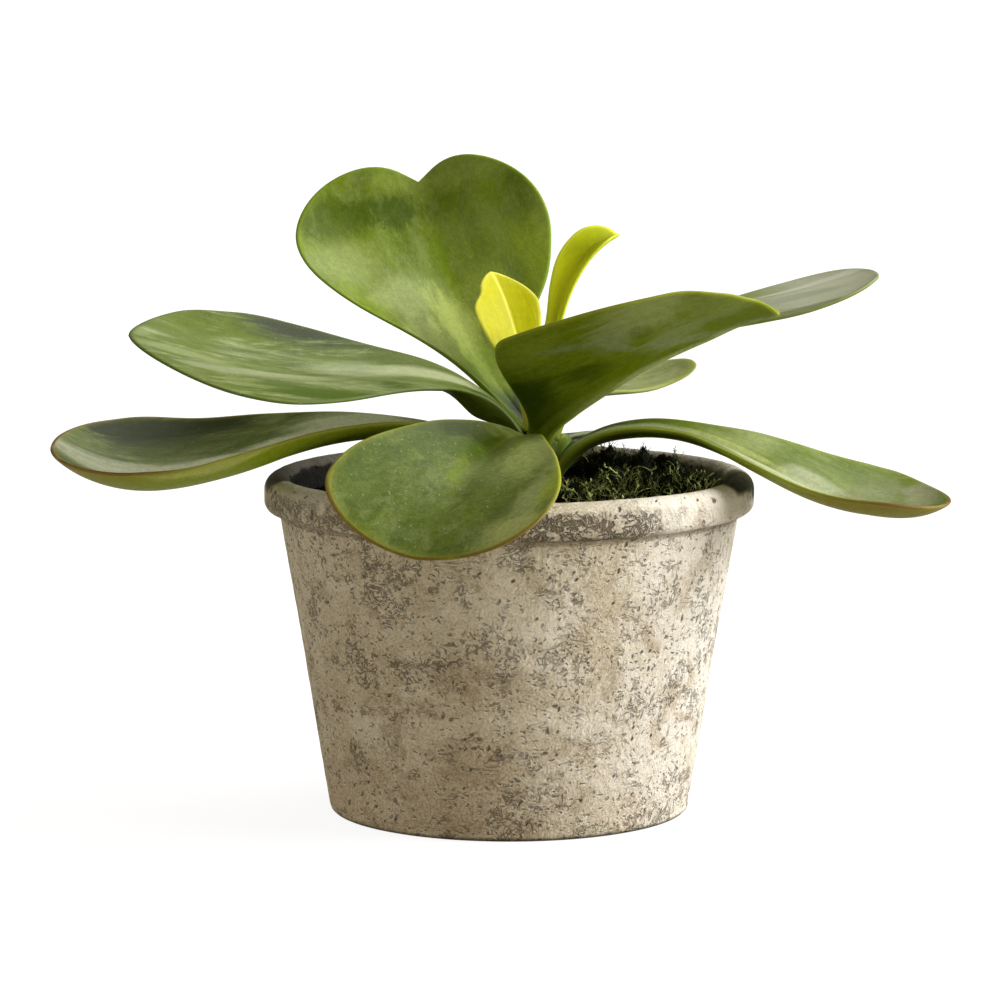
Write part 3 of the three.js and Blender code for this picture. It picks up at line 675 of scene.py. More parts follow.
def course(values, s):
    """A smooth course through control values, as a Bezier curve in one dimension."""
    level = [value + 0 * s for value in values]
    while len(level) > 1:
        level = [a * (1 - s) + b * s for a, b in zip(level, level[1:])]
    return level[0]


def through(values, s):
    """A smooth course that passes through every one of its values."""
    values = np.array(values, float)
    place = np.clip(s, 0, 1) * (len(values) - 1)
    i = np.minimum(np.floor(place).astype(int), len(values) - 2)
    t = place - i
    a, b, c, d = [values[np.clip(i + k, 0, len(values) - 1)] for k in (-1, 0, 1, 2)]
    square, cube = 2 * a - 5 * b + 4 * c - d, 3 * b - a - 3 * c + d
    return 0.5 * (2 * b + (c - a) * t + square * t ** 2 + cube * t ** 3)


def more(leaf, sides, s):
    """How much wider the leaf is than its plain outline, in millimetres."""
    left, right = [through(leaf.get(name, [0, 0]), s + 0 * sides) for name in ("more_left", "more_right")]
    return np.where(sides > 0, left, right)


def directions(leaf, s):
    """Along the midrib, to the leaf's left and out of its upper face, at places along it."""
    heading = np.radians(course(leaf["heading"], s))
    pitch = np.radians(course(leaf["pitch"], s))
    roll = np.radians(course(leaf["roll"], s))[..., None]
    along = np.stack([np.cos(pitch) * np.cos(heading), np.cos(pitch) * np.sin(heading), np.sin(pitch)], -1)
    level = np.stack([-np.sin(heading), np.cos(heading), 0 * heading], -1)
    upright = np.cross(along, level)
    left = np.cos(roll) * level + np.sin(roll) * upright
    out = np.cos(roll) * upright - np.sin(roll) * level
    return along, left, out


def leaf_grid(leaf):
    """Each grid point's distance along and across, the half width, and its share of the
    way to the edge; the columns and rows crowd towards the margin, to round it."""
    places = np.linspace(0, 1, ACROSS_HALF + 1) ** 0.8
    places = 1 - (1 - places) ** 1.35
    sides = np.concatenate([-places[:0:-1], places])
    widest = np.where(sides > 0, *leaf["wide"])
    along, across, half, edge = [], [], [], []
    for part in np.arange(BODY_ROWS) / BODY_ROWS:
        swell = math.sin(math.pi / 2 * part ** leaf["slim"]) ** 1.6
        width = leaf["neck"] + (widest - leaf["neck"]) * swell + more(leaf, sides, part * leaf["at"])
        along.append(np.full_like(sides, part * leaf["at"] * leaf["length"]))
        across.append(sides * width)
        half.append(width)
        edge.append(np.abs(sides))
    for q in 1 - (1 - np.linspace(0, 1, TIP_ROWS + 1)) ** 1.5:
        x = sides * np.sqrt(1 - q * q / 2)
        y = q * np.sqrt(1 - sides * sides / 2)
        angle, fill = np.arctan2(y, np.abs(x) + 1e-12), leaf["fill"]
        square = (np.abs(np.cos(angle)) ** fill + np.abs(np.sin(angle)) ** fill) ** (-1 / fill)
        near = np.minimum(1, np.hypot(x, y))
        stretch = 1 + (square - 1) * near
        reach = leaf["length"] * (leaf["at"] + y * stretch * (1 - leaf["at"]))
        width = widest + more(leaf, sides, reach / leaf["length"])
        if "notch" in leaf:
            aside = np.abs(x * stretch * width) / leaf["notch_width"]
            reach = reach - leaf["notch"] * q * q * np.exp(-aside ** 1.2)
        along.append(reach)
        across.append(x * stretch * width)
        half.append(width)
        edge.append(near)
    return [np.array(rows) for rows in (along, across, half, edge)]


def make_leaf(name, leaf):
    along, across, half, edge = leaf_grid(leaf)
    s = np.clip(along / leaf["length"], 0, 1)
    if "nick" in leaf:
        place, depth, spread = leaf["nick"]
        across = across * np.where(across > 0, 1 - depth * np.exp(-((s - place) / spread) ** 2), 1)
    steps = np.linspace(0, 1, SPINE_STEPS + 1)
    walk, _, _ = directions(leaf, (steps[:-1] + steps[1:]) / 2)
    around = math.radians(leaf["around"])
    start = leaf.get("start", ROOT_DEPTH)
    root = [STEM_AT[0] + start * math.cos(around), STEM_AT[1] + start * math.sin(around), leaf["up"]]
    spine = root + np.concatenate([np.zeros((1, 3)), np.cumsum(walk, 0)]) * leaf["length"] / SPINE_STEPS
    centre = np.stack([np.interp(s, steps, spine[:, k]) for k in range(3)], -1)
    _, left, out = directions(leaf, s)
    side = np.where(across >= 0, 1, -1)
    reach = np.abs(across)
    fold = math.radians(leaf["fold"])
    curl = np.radians(np.where(across >= 0, course(leaf["curl_left"], s), course(leaf["curl_right"], s)))
    bend = np.maximum(curl / half, 1e-5)
    slope = fold + bend * reach
    centre = centre + (side * (np.sin(slope) - math.sin(fold)) / bend)[..., None] * left
    centre = centre + ((math.cos(fold) - np.cos(slope)) / bend)[..., None] * out
    normal = (-side * np.sin(slope))[..., None] * left + np.cos(slope)[..., None] * out

    thick = leaf.get("thick", MATURE)
    fade = np.exp(-along / ROOT_FADE)
    middle = thick["blade"] + (thick["root"] - thick["blade"]) * fade
    rim = thick["edge"] + np.maximum(0, 0.35 * thick["root"] - thick["edge"]) * fade
    tip_reach = leaf["length"] * (1 - leaf["at"])
    margin = (1 - edge) * np.where(s > leaf["at"], np.minimum(half, tip_reach), half)
    rounding = np.sqrt(np.clip(1 - (1 - np.minimum(margin / MARGIN_ROUND, 1)) ** 2, 0, 1))
    body = (rim + (middle - rim) * (1 - edge ** EDGE_FALL)) / 2 * rounding
    seed = sum(map(ord, name)) % 97
    wave = np.array([[WAVE * noise.noise(Vector((a / WAVE_SIZE, c / WAVE_SIZE, seed)))
                      for a, c in zip(*row)] for row in zip(along, across)])
    wave = wave * np.clip(along / 30, 0, 1) * np.minimum(1, leaf["length"] / 90)
    for place, spread, height, begin, end in leaf.get("ridges", []):
        rise = np.clip((s - begin) / 0.15, 0, 1) * np.clip((end - s) / 0.15, 0, 1)
        wave = wave - height * rise * rise * (3 - 2 * rise) * np.exp(-((across - place) / spread) ** 2)
    fading = np.clip(1.15 - s, 0, 1) * np.clip(margin / 2, 0, 1)
    sunk = RIB_SUNK * np.exp(-(across / RIB_SUNK_WIDTH) ** 2) * fading
    raised = RIB_RAISED * np.exp(-(across / RIB_RAISED_WIDTH) ** 2) * fading
    upper = centre + normal * (wave + body - sunk)[..., None]
    depth, place, spread = leaf.get("keel", (0, 0, 1))
    raised = raised + depth * np.exp(-((s - place) / spread) ** 2) * (1 - edge ** 2)
    lower = centre + normal * (wave - body - raised)[..., None]

    rows, columns = s.shape
    upper_index = np.arange(rows * columns).reshape(rows, columns)
    lower_index = upper_index.copy()
    inner = lower_index[:-1, 1:-1]
    lower_index[:-1, 1:-1] = rows * columns + np.arange(inner.size).reshape(inner.shape)
    faces = []
    for i in range(rows - 1):
        for k in range(columns - 1):
            a, b = (i, k), (i, k + 1)
            c, d = (i + 1, k + 1), (i + 1, k)
            faces.append([upper_index[p] for p in (a, d, c, b)])
            faces.append([lower_index[p] for p in (a, b, c, d)])
    for k in range(columns - 1):
        loop = [upper_index[0, k], upper_index[0, k + 1], lower_index[0, k + 1], lower_index[0, k]]
        faces.append(list(dict.fromkeys(loop)))
    faces = [[int(p) for p in face] for face in faces]

    def both(values):
        hidden = values[:-1, 1:-1].reshape(inner.size, -1)
        return np.concatenate([values.reshape(rows * columns, -1), hidden])

    points = both(upper)
    points[rows * columns:] = lower[:-1, 1:-1].reshape(-1, 3)
    piece = mesh_object(name.replace("leaf", "blade"), points, faces)
    shape_side = np.ones(len(points))
    shape_side[rows * columns:] = 0
    shape_side[lower_index[-1, :]] = 0.5
    shape_side[lower_index[:, 0]] = 0.5
    shape_side[lower_index[:, -1]] = 0.5
    keep_attribute(piece, "upper", shape_side)
    keep_attribute(piece, "margin", both(margin)[:, 0])
    keep_attribute(piece, "across", both(across)[:, 0])
    keep_attribute(piece, "share", both(s)[:, 0])
    place = np.concatenate([both(across), both(along)], 1) / BLADE_UNIT
    uv = piece.data.uv_layers.new(name="blade")
    corners = np.zeros(len(piece.data.loops), int)
    piece.data.loops.foreach_get("vertex_index", corners)
    uv.data.foreach_set("uv", place[corners].astype(np.float32).ravel())
    return piece


def spot(skin, blade, ragged, at, size, turn=0):
    """A soft patch of a blade, of its own colour or of painted light or shade; at and size are across and
    along it, in millimetres.
    """
    place = {"Vector": blade, "Location": (at[0] / BLADE_UNIT, at[1] / BLADE_UNIT, 0),
             "Rotation": (0, 0, math.radians(turn)),
             "Scale": (size[0] / BLADE_UNIT, size[1] / BLADE_UNIT, 1)}
    moved = skin.node("Vector", "Mapping", place, vector_type="TEXTURE")
    away = skin.tone("Value", "VectorMath", {0: moved}, operation="LENGTH")
    return (away + ragged).edge(1.5, 0.55)


def leaf_skin(name, dark, mid, bloom_and_sheen, under, edging, blush=0.0, bloom_and_sheen_share=0.3, glow=0.05,
              rib=0.12, specks=0.4, stripes=1.0, patches_and_painted_light=(), side="upper", grainy=0.3):
    skin = Finish(name, 0.36, dark, Subsurface_Weight=glow, Subsurface_Radius=GLOW_REACH,
                  Subsurface_Scale=GLOW_SCALE)
    cloud, coat, blade = skin.cloud, skin.coat, skin.node("UV", "UVMap", uv_map="blade")
    length, margin = skin.kept("share"), skin.kept("margin")
    clouds = cloud(5.5, 5, 0.6, 0.6, skin.stretched(blade, (1, 0.5, 1)))
    streaks = cloud(15, 6, 0.68, 0.8, skin.stretched(blade, (1, 1 - 0.8 * stripes, 1)))
    fine = cloud(110, 4, 0.62, 0.6, skin.stretched(blade, (1, 1 - 0.9 * stripes, 1)))
    coat(clouds.edge(0.36, 0.62), mid)
    # The grey streaks are partly the leaf's waxy bloom and partly painted sheen.
    coat(streaks.edge(0.4, 0.66) * bloom_and_sheen_share + fine.edge(0.5, 0.7) * (bloom_and_sheen_share * 0.7), bloom_and_sheen)
    coat(fine.edge(0.46, 0.3) * (bloom_and_sheen_share * 0.8), dark)
    upper = skin.kept("upper").edge(0.1, 0.6)
    below = skin.mixed(fine.edge(0.42, 0.72) * 0.15, under, bloom_and_sheen)
    skin.colour = skin.mixed(upper, below, skin.colour)
    coat(length.edge(0.3, 0.02) * 0.5, under)

    ragged = (streaks - 0.5) * 2.4
    seen = {"upper": upper, "under": 1.0 - upper, "both": 1.0}[side]
    for at, size, shade, share, *turn in patches_and_painted_light:
        coat(spot(skin, blade, ragged, at, size, *turn) * seen * share, shade)
    grain = cloud(1400, 3, 0.7)
    mottle = cloud(480, 4, 0.75)
    coat(grainy, skin.mixed(grain.edge(0.3, 0.7), DUST_DARK, (0.66, 0.66, 0.62)), "OVERLAY")
    coat(grainy + 0.05, skin.mixed(mottle.edge(0.34, 0.66), DUST_DARK, (0.66, 0.66, 0.6)), "OVERLAY")

    # The midrib and the margin are paler, partly painted highlight and rim light; the margin reddens, and
    # the back of the tip tans.
    coat(skin.maths("ABSOLUTE", skin.kept("across"), 0.0).edge(0.9, 0.15) * rib, edging)
    for outer, inner, share in ((3.0, 0.3, 0.2), (1.1, 0.7, 0.4), (0.5, 0.2, 0.5)):
        coat(margin.edge(outer, inner) * share, edging)
    red = margin.edge(0.9, 0.4) * length.edge(0.66, 0.9) * clouds.edge(0.3, 0.5)
    coat(red * blush, BLUSH_RED)
    coat(length.edge(0.72, 1.0) * (1.0 - upper) * (blush * 0.6), BLUSH_TAN)
    away, number = skin.cells(skin.where, 640)
    dot = away.edge(0.2, 0.06) * number.edge(0.9 - 0.3 * specks, 1.0 - 0.3 * specks)
    coat(dot * specks, SPECK_PALE)
    skin.link("Roughness", streaks.edge(0.35, 0.7) * 0.14 + 0.33)
    skin.link("Specular IOR Level", upper * 0.08 + 0.06)
    return skin.done(fine * 0.6 + grain * 0.25 + streaks * 1.0, 0.3, 0.0005)


DEEP_GREEN = (0.085, 0.135, 0.004)
MID_GREEN = (0.15, 0.22, 0.010)
LIGHT_GREEN = (0.23, 0.31, 0.012)
VIVID_GREEN = (0.16, 0.25, 0.003)
GREY_BLOOM_AND_SHEEN = (0.33, 0.38, 0.17)
DARK_GREY = (0.06, 0.075, 0.035)
UNDER_OLIVE = (0.29, 0.34, 0.002)
UNDER_DEEP = (0.09, 0.135, 0.002)
PALE_EDGE = (0.34, 0.41, 0.05)
GOLD_EDGE = (0.38, 0.36, 0.05)
BLUSH_RED = (0.17, 0.075, 0.025)
BLUSH_TAN = (0.34, 0.24, 0.07)
SPECK_PALE = (0.42, 0.47, 0.28)
DUST_DARK = (0.36, 0.36, 0.4)
GLOW_REACH, GLOW_SCALE = (0.6, 1.0, 0.15), 0.0015

# A spot is a patch of the leaf's own colour, or of painted sheen, highlight or shade: where it lies
# (across the blade and along it), its size that way, its colour, its strength and, for some, its turn in
# degrees.
LEAF_FINISH = {
    "leaf_heart": dict(
        dark=(0.10, 0.15, 0.003), mid=(0.16, 0.225, 0.008), bloom_and_sheen=GREY_BLOOM_AND_SHEEN, under=LIGHT_GREEN,
        edging=(0.2, 0.31, 0.01), bloom_and_sheen_share=0.2, stripes=0.6, specks=0.1,
        patches_and_painted_light=[((2, 8), (13, 12), (0.012, 0.028, 0.001), 0.95),
        ((7, 22), (5, 12), (0.07, 0.12, 0.004), 0.6), ((30, 88), (14, 7), (0.06, 0.095, 0.002), 0.7),
        ((10, 88), (8, 5), (0.045, 0.08, 0.001), 0.8), ((22, 89), (7, 4), (0.06, 0.1, 0.001), 0.6),
        ((-14, 72), (12, 12), (0.2, 0.27, 0.04), 0.4), ((-32, 60), (6, 14), (0.24, 0.31, 0.02), 0.6),
        ((-38, 76), (5, 16), (0.3, 0.38, 0.06), 0.7), ((-10, 99), (20, 6), (0.25, 0.33, 0.06), 0.75),
        ((-13, 56), (8, 8), (0.26, 0.33, 0.05), 0.6), ((34, 72), (12, 7), (0.28, 0.34, 0.11), 0.5),
        ((18, 58), (11, 8), (0.33, 0.39, 0.14), 0.7), ((20, 40), (9, 9), (0.34, 0.40, 0.14), 0.8),
        ((3, 47), (8, 12), (0.38, 0.45, 0.10), 0.8), ((0, 30), (6, 10), (0.2, 0.27, 0.03), 0.6),
        ((-2, 64), (1.6, 10), VIVID_GREEN, 0.5)]),
    "leaf_upper_left": dict(
        dark=(0.06, 0.095, 0.005), mid=(0.105, 0.15, 0.012), bloom_and_sheen=(0.32, 0.37, 0.18), under=UNDER_DEEP,
        edging=(0.1, 0.14, 0.02), bloom_and_sheen_share=0.55, grainy=0.2,
        patches_and_painted_light=[((4, 16), (5, 16), (0.018, 0.035, 0.001), 0.92),
        ((-11, 120), (8, 14), (0.095, 0.135, 0.004), 0.8),
        ((-18, 99), (6, 9), (0.10, 0.145, 0.006), 0.75), ((-23, 78), (7, 19), (0.045, 0.055, 0.03), 0.97),
        ((-20, 54), (6, 18), DARK_GREY, 0.8), ((-9, 48), (5, 18), (0.085, 0.12, 0.01), 0.75),
        ((28, 84), (7, 17), (0.055, 0.10, 0.001), 0.95), ((13, 100), (4, 20), (0.38, 0.42, 0.24), 0.6),
        ((24, 128), (4, 10), (0.11, 0.14, 0.03), 0.6), ((-1, 68), (5, 14), (0.42, 0.47, 0.28), 0.45),
        ((-2, 45), (3, 16), (0.44, 0.48, 0.27), 0.7), ((4, 124), (3, 14), GREY_BLOOM_AND_SHEEN, 0.5)]),
    "leaf_lower_left": dict(
        dark=(0.07, 0.105, 0.006), mid=(0.11, 0.16, 0.02), bloom_and_sheen=GREY_BLOOM_AND_SHEEN, under=(0.25, 0.33, 0.01),
        edging=GOLD_EDGE, blush=0.9, bloom_and_sheen_share=0.5, rib=0.05, side="both",
        patches_and_painted_light=[((-27, 112), (9, 34), (0.02, 0.032, 0.004), 0.95),
        ((-15, 100), (6, 24), (0.09, 0.115, 0.03), 0.6), ((-4, 112), (5, 44), (0.62, 0.66, 0.46), 0.85),
        ((-6, 78), (4, 20), (0.66, 0.70, 0.46), 0.85), ((-10, 54), (8, 18), (0.56, 0.62, 0.38), 0.85),
        ((26, 88), (3, 34), (0.5, 0.56, 0.16), 0.7)]),
    "leaf_front": dict(
        dark=(0.07, 0.11, 0.012), mid=(0.125, 0.175, 0.025), bloom_and_sheen=GREY_BLOOM_AND_SHEEN, under=UNDER_OLIVE,
        edging=(0.38, 0.4, 0.03), blush=0.7, bloom_and_sheen_share=0.25, specks=0.8, stripes=0.3, rib=0.04,
        grainy=0.4,
        patches_and_painted_light=[((-11, 54), (14, 14), (0.03, 0.055, 0.0005), 0.93),
        ((-6, 63), (6, 6), (0.08, 0.14, 0.001), 0.7), ((-16, 68), (12, 8), (0.10, 0.145, 0.02), 0.5),
        ((17, 58), (10, 16), (0.36, 0.42, 0.14), 0.85), ((7, 72), (8, 8), (0.21, 0.26, 0.08), 0.5),
        ((-3, 78), (2.2, 10), LIGHT_GREEN, 0.3, -12), ((27, 88), (5, 12), (0.30, 0.35, 0.13), 0.8),
        ((12, 92), (7, 10), (0.11, 0.15, 0.02), 0.5), ((31, 80), (3, 14), (0.26, 0.33, 0.01), 0.6),
        ((0, 99), (12, 6), (0.10, 0.14, 0.015), 0.6), ((-25, 96), (9, 12), (0.085, 0.125, 0.02), 0.5),
        ((28, 106), (10, 9), (0.38, 0.42, 0.14), 0.75)]),
    "leaf_right_near": dict(
        dark=DEEP_GREEN, mid=MID_GREEN, bloom_and_sheen=GREY_BLOOM_AND_SHEEN, under=(0.15, 0.21, 0.003),
        edging=(0.34, 0.39, 0.04), bloom_and_sheen_share=0.3, rib=0.5, side="under",
        patches_and_painted_light=[((-30, 68), (8, 13), (0.33, 0.39, 0.14), 0.75),
        ((-18, 84), (9, 10), (0.25, 0.31, 0.08), 0.6), ((-34, 34), (6, 11), (0.25, 0.31, 0.03), 0.65),
        ((-15, 24), (8, 9), (0.036, 0.068, 0.0005), 0.85),
        ((-13, 42), (5, 7), (0.055, 0.085, 0.001), 0.75), ((-10, 14), (8, 8), (0.045, 0.08, 0.0005), 0.8),
        ((-24, 55), (6, 6), (0.26, 0.31, 0.13), 0.7), ((-11, 68), (7, 9), (0.26, 0.31, 0.12), 0.7),
        ((-28, 44.5), (1.4, 7), (0.22, 0.28, 0.12), 0.6, -30),
        ((-15, 58), (1.6, 11), (0.25, 0.31, 0.14), 0.6, -54),
        ((-4, 71), (1.6, 9), (0.25, 0.31, 0.14), 0.6, -17),
        ((-2, 30), (1.4, 18), (0.24, 0.31, 0.03), 0.7), ((1, 60), (2.4, 34), (0.5, 0.54, 0.26), 0.85),
        ((-21, 62), (3, 3), DEEP_GREEN, 0.4)]),
    "leaf_right_far": dict(
        dark=DEEP_GREEN, mid=MID_GREEN, bloom_and_sheen=GREY_BLOOM_AND_SHEEN, under=LIGHT_GREEN, edging=(0.2, 0.24, 0.06),
        bloom_and_sheen_share=0.6, grainy=0.1,
        patches_and_painted_light=[((4, 106), (30, 26), (0.64, 0.67, 0.53), 0.74),
        ((-20, 92), (6, 14), (0.14, 0.17, 0.07), 0.7), ((6, 92), (3, 14), (0.34, 0.38, 0.28), 0.6),
        ((17, 104), (2, 16), (0.8, 0.82, 0.74), 0.6)]),
    "leaf_lower_right": dict(
        dark=DEEP_GREEN, mid=MID_GREEN, bloom_and_sheen=GREY_BLOOM_AND_SHEEN, under=(0.22, 0.28, 0.004), edging=PALE_EDGE,
        blush=0.9, bloom_and_sheen_share=0.4, rib=0.3, side="both",
        patches_and_painted_light=[((-6, 84), (6, 24), (0.46, 0.5, 0.3), 0.9), ((3, 90), (5, 10), (0.44, 0.48, 0.30), 0.7),
        ((10, 62), (7, 12), (0.40, 0.46, 0.2), 0.7), ((10, 108), (10, 9), (0.24, 0.27, 0.13), 0.7),
        ((15, 98), (6, 10), (0.13, 0.18, 0.03), 0.7), ((9, 126), (9, 6), (0.4, 0.4, 0.26), 0.6),
        ((6, 28), (3, 14), (0.08, 0.12, 0.004), 0.8), ((-1, 8), (10, 20), (0.05, 0.085, 0.001), 0.9),
        ((-6, 34), (4, 22), (0.10, 0.14, 0.003), 0.8), ((8, 40), (4, 20), (0.12, 0.17, 0.01), 0.6),
        ((0.5, 36), (1.6, 24), (0.56, 0.62, 0.34), 0.85), ((2, 64), (1, 14), (0.5, 0.56, 0.2), 0.7),
        ((-24, 78), (2.5, 14), (0.5, 0.56, 0.14), 0.7), ((-22, 108), (6, 16), (0.3, 0.19, 0.04), 0.5),
        ((0, 110), (3, 12), (0.32, 0.2, 0.1), 0.5)]),
    "leaf_back_right": dict(
        dark=(0.2, 0.24, 0.07), mid=(0.29, 0.34, 0.12), bloom_and_sheen=(0.45, 0.48, 0.28), under=(0.3, 0.36, 0.12),
        edging=(0.4, 0.45, 0.1), bloom_and_sheen_share=0.6),
    "leaf_back_low": dict(
        dark=DEEP_GREEN, mid=MID_GREEN, bloom_and_sheen=GREY_BLOOM_AND_SHEEN, under=(0.19, 0.22, 0.12),
        edging=(0.26, 0.3, 0.18)),
    "leaf_young_broad": dict(
        dark=(0.50, 0.50, 0.0), mid=(0.62, 0.58, 0.0), bloom_and_sheen=(0.68, 0.64, 0.005), grainy=0.15,
        under=(0.60, 0.58, 0.0), edging=(0.85, 0.82, 0.12), glow=0.25, specks=0, bloom_and_sheen_share=0.2, rib=0.9,
        patches_and_painted_light=[((0, 5), (9, 13), (0.03, 0.05, 0.001), 0.92), ((-3, 42), (6, 16), (0.46, 0.45, 0.0), 0.6)]),
    "leaf_young_curled": dict(
        dark=(0.33, 0.4, 0.0), mid=(0.52, 0.57, 0.0), bloom_and_sheen=(0.6, 0.65, 0.01), grainy=0.15,
        under=(0.46, 0.52, 0.001), edging=(0.75, 0.8, 0.05), glow=0.2, specks=0, bloom_and_sheen_share=0.2, rib=0.3,
        patches_and_painted_light=[((1, 40), (12, 13), (0.72, 0.78, 0.01), 0.75),
        ((3, 66), (10, 9), (0.38, 0.43, 0.002), 0.75)]),
    "leaf_bud": dict(
        dark=(0.06, 0.11, 0.0005), mid=(0.11, 0.16, 0.001), bloom_and_sheen=GREY_BLOOM_AND_SHEEN, under=(0.10, 0.15, 0.001),
        edging=(0.32, 0.4, 0.07), bloom_and_sheen_share=0.02, specks=0),
}

for leaf_name, leaf in LEAVES.items():
    blade = make_leaf(leaf_name, leaf)
    blade.data.materials.append(leaf_skin(leaf_name + "_skin", **LEAF_FINISH[leaf_name]))
    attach(blade, "root")
    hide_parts(leaf_name)

# ---- moss ----
# Three beds of living moss on the right half of the soil: a dark mat, out of which
# grow feathery sprigs, short tufts and long threads. All of it is rooted in the mat.
MOSS_BEDS = {
    "moss_front": dict(turn=(-70, -24), radius=(24, 62), depth=2.6, size=0.72, light=1.0,
                       threads=1, seed=11),
    "moss_right": dict(turn=(-22, 17), radius=(33, 62), depth=2.4, size=0.66, light=1.0,
                       threads=1, seed=12),
    "moss_back": dict(turn=(19, 62), radius=(33, 62), depth=6.4, size=0.38, light=0.76,
                      threads=0, seed=13),
}
MOSS_LIFT = 0.2
MAT_STEPS = (40, 30)
SPRIG_LENGTH, TUFT_HEIGHT, THREAD_LENGTH = 10, 3.4, 12
SPRIGS, TUFTS, THREADS = 125000.0, 190000.0, 24000.0      # to the square metre
LEAN = {"Sprigs": (-1.1, -0.35), "Tufts": (-0.5, 0.5), "Threads": (-0.7, -0.1)}     # in radians
TONES = {"Sprigs": (0.25, 1.0), "Tufts": (0.0, 0.55), "Threads": (0.25, 1.0)}
MOSS_BLACK = (0.004, 0.005, 0.002)
MOSS_GREEN = (0.06, 0.075, 0.006)
MOSS_LIGHT = (0.66, 0.74, 0.26)


def strand_at(length, bow, swing, t):
    return length * t, swing * math.sin(2.6 * t) * length, bow * math.sin(math.pi * 0.8 * t) * length


def strand(length, thick, bow, steps, swing):
    """A thin three-sided strand along +X that bows upward and swings aside, as points and faces."""
    points, faces = [], []
    for i in range(steps + 1):
        t = i / steps
        size = thick * (1 - 0.6 * t)
        x, y, z = strand_at(length, bow, swing, t)
        for k in range(3):
            turn = k * 2 * math.pi / 3
            points.append((x, y + size * math.cos(turn), z + size * math.sin(turn)))
    for i in range(steps):
        for k in range(3):
            j = (k + 1) % 3
            faces.append((3 * i + k, 3 * i + j, 3 * i + 3 + j, 3 * i + 3 + k))
    faces.append((2, 1, 0))
    faces.append((3 * steps, 3 * steps + 1, 3 * steps + 2))
    return points, faces


def leaflet(points, faces, root, tip, wide):
    """A thin closed leaflet from root to tip: three sides that meet in two points."""
    root, tip = Vector(root), Vector(tip)
    along = (tip - root).normalized()
    side = along.cross(Vector((0, 0, 1))).normalized() * wide
    lift = side.cross(along).normalized() * wide * 0.35
    middle = root.lerp(tip, 0.4)
    start = len(points)
    points += [root[:], tip[:], (middle + side)[:], (middle + lift)[:], (middle - side)[:]]
    for k in range(3):
        a, b = start + 2 + k, start + 2 + (k + 1) % 3
        faces.append((start, b, a))
        faces.append((start + 1, a, b))


def sprig_shape():
    """A curved twig with short uneven leaflets all round it."""
    points, faces = strand(SPRIG_LENGTH, 0.3, 0.24, 4, 0.22)
    for i in range(7):
        t = 0.18 + 0.12 * i
        reach = (2.2 - 0.14 * i) * (1, 0.6, 0.85)[i % 3]
        turn = 2.4 * i
        x, y, z = strand_at(SPRIG_LENGTH, 0.24, 0.22, t)
        tip = (x + 0.8 * reach, y + reach * math.cos(turn), z + 0.7 * reach * math.sin(turn) + 0.3)
        leaflet(points, faces, (x, y, z), tip, 0.36)
    return mesh_object("sprig_pattern", points, faces, smooth=False)


def tuft_shape():
    points, faces = [], []
    for k in range(6):
        turn = k * math.pi / 3 + 0.3 * (k % 2)
        reach = TUFT_HEIGHT * (0.45 + 0.12 * (k % 3))
        tip = (reach * math.cos(turn), reach * math.sin(turn), TUFT_HEIGHT * (0.9 - 0.3 * (k % 2)))
        leaflet(points, faces, (0, 0, -0.3), tip, 0.32)
    return mesh_object("tuft_pattern", points, faces, smooth=False)


def thread_shape():
    points, faces = strand(THREAD_LENGTH, 0.2, 0.2, 7, -0.3)
    return mesh_object("thread_pattern", points, faces, smooth=False)


def mat_shape(name, bed):
    arcs, rings = MAT_STEPS
    points = []
    for face in (1, 0):
        for i in range(arcs + 1):
            for j in range(rings + 1):
                turn = math.radians(bed["turn"][0] + (bed["turn"][1] - bed["turn"][0]) * i / arcs)
                r = bed["radius"][0] + (bed["radius"][1] - bed["radius"][0]) * j / rings
                x, y = r * math.cos(turn), r * math.sin(turn)
                inset = min(i, arcs - i, 1.5 * j, 1.5 * (rings - j)) / 6
                place = Vector((x, y, bed["seed"]))
                lumps = 0.75 + 0.9 * noise.noise(place / 7) + 0.5 * noise.noise(place / 2.6)
                rise = bed["depth"] * lumps * min(1, inset) ** 0.6 * face
                points.append((x, y, soil_height(x, y) + MOSS_LIFT + max(rise, 0) - 0.6 * (1 - face)))
    total = (arcs + 1) * (rings + 1)
    faces = []
    for i in range(arcs):
        for j in range(rings):
            a, b = i * (rings + 1) + j, i * (rings + 1) + j + 1
            c, d = (i + 1) * (rings + 1) + j + 1, (i + 1) * (rings + 1) + j
            faces.append((a, b, c, d))
            faces.append((a + total, d + total, c + total, b + total))
    edge = list(range(rings + 1))
    edge += [i * (rings + 1) + rings for i in range(1, arcs + 1)]
    edge += [arcs * (rings + 1) + j for j in range(rings - 1, -1, -1)]
    edge += [i * (rings + 1) for i in range(arcs - 1, 0, -1)]
    for a, b in zip(edge, edge[1:] + edge[:1]):
        faces.append((a, a + total, b + total, b))
    return mesh_object(name.replace("moss", "moss_bed"), points, faces)


def moss_skin():
    skin = Finish("living_moss", 0.7, MOSS_BLACK, Specular_IOR_Level=0.03)
    tone = skin.kept("tone")
    skin.coat(tone.edge(0.35, 0.75), MOSS_GREEN)
    skin.coat(tone.edge(0.55, 0.85), MOSS_LIGHT)
    skin.coat(skin.cloud(300, 3).edge(0.6, 0.35) * 0.7, MOSS_BLACK)
    return skin.done()


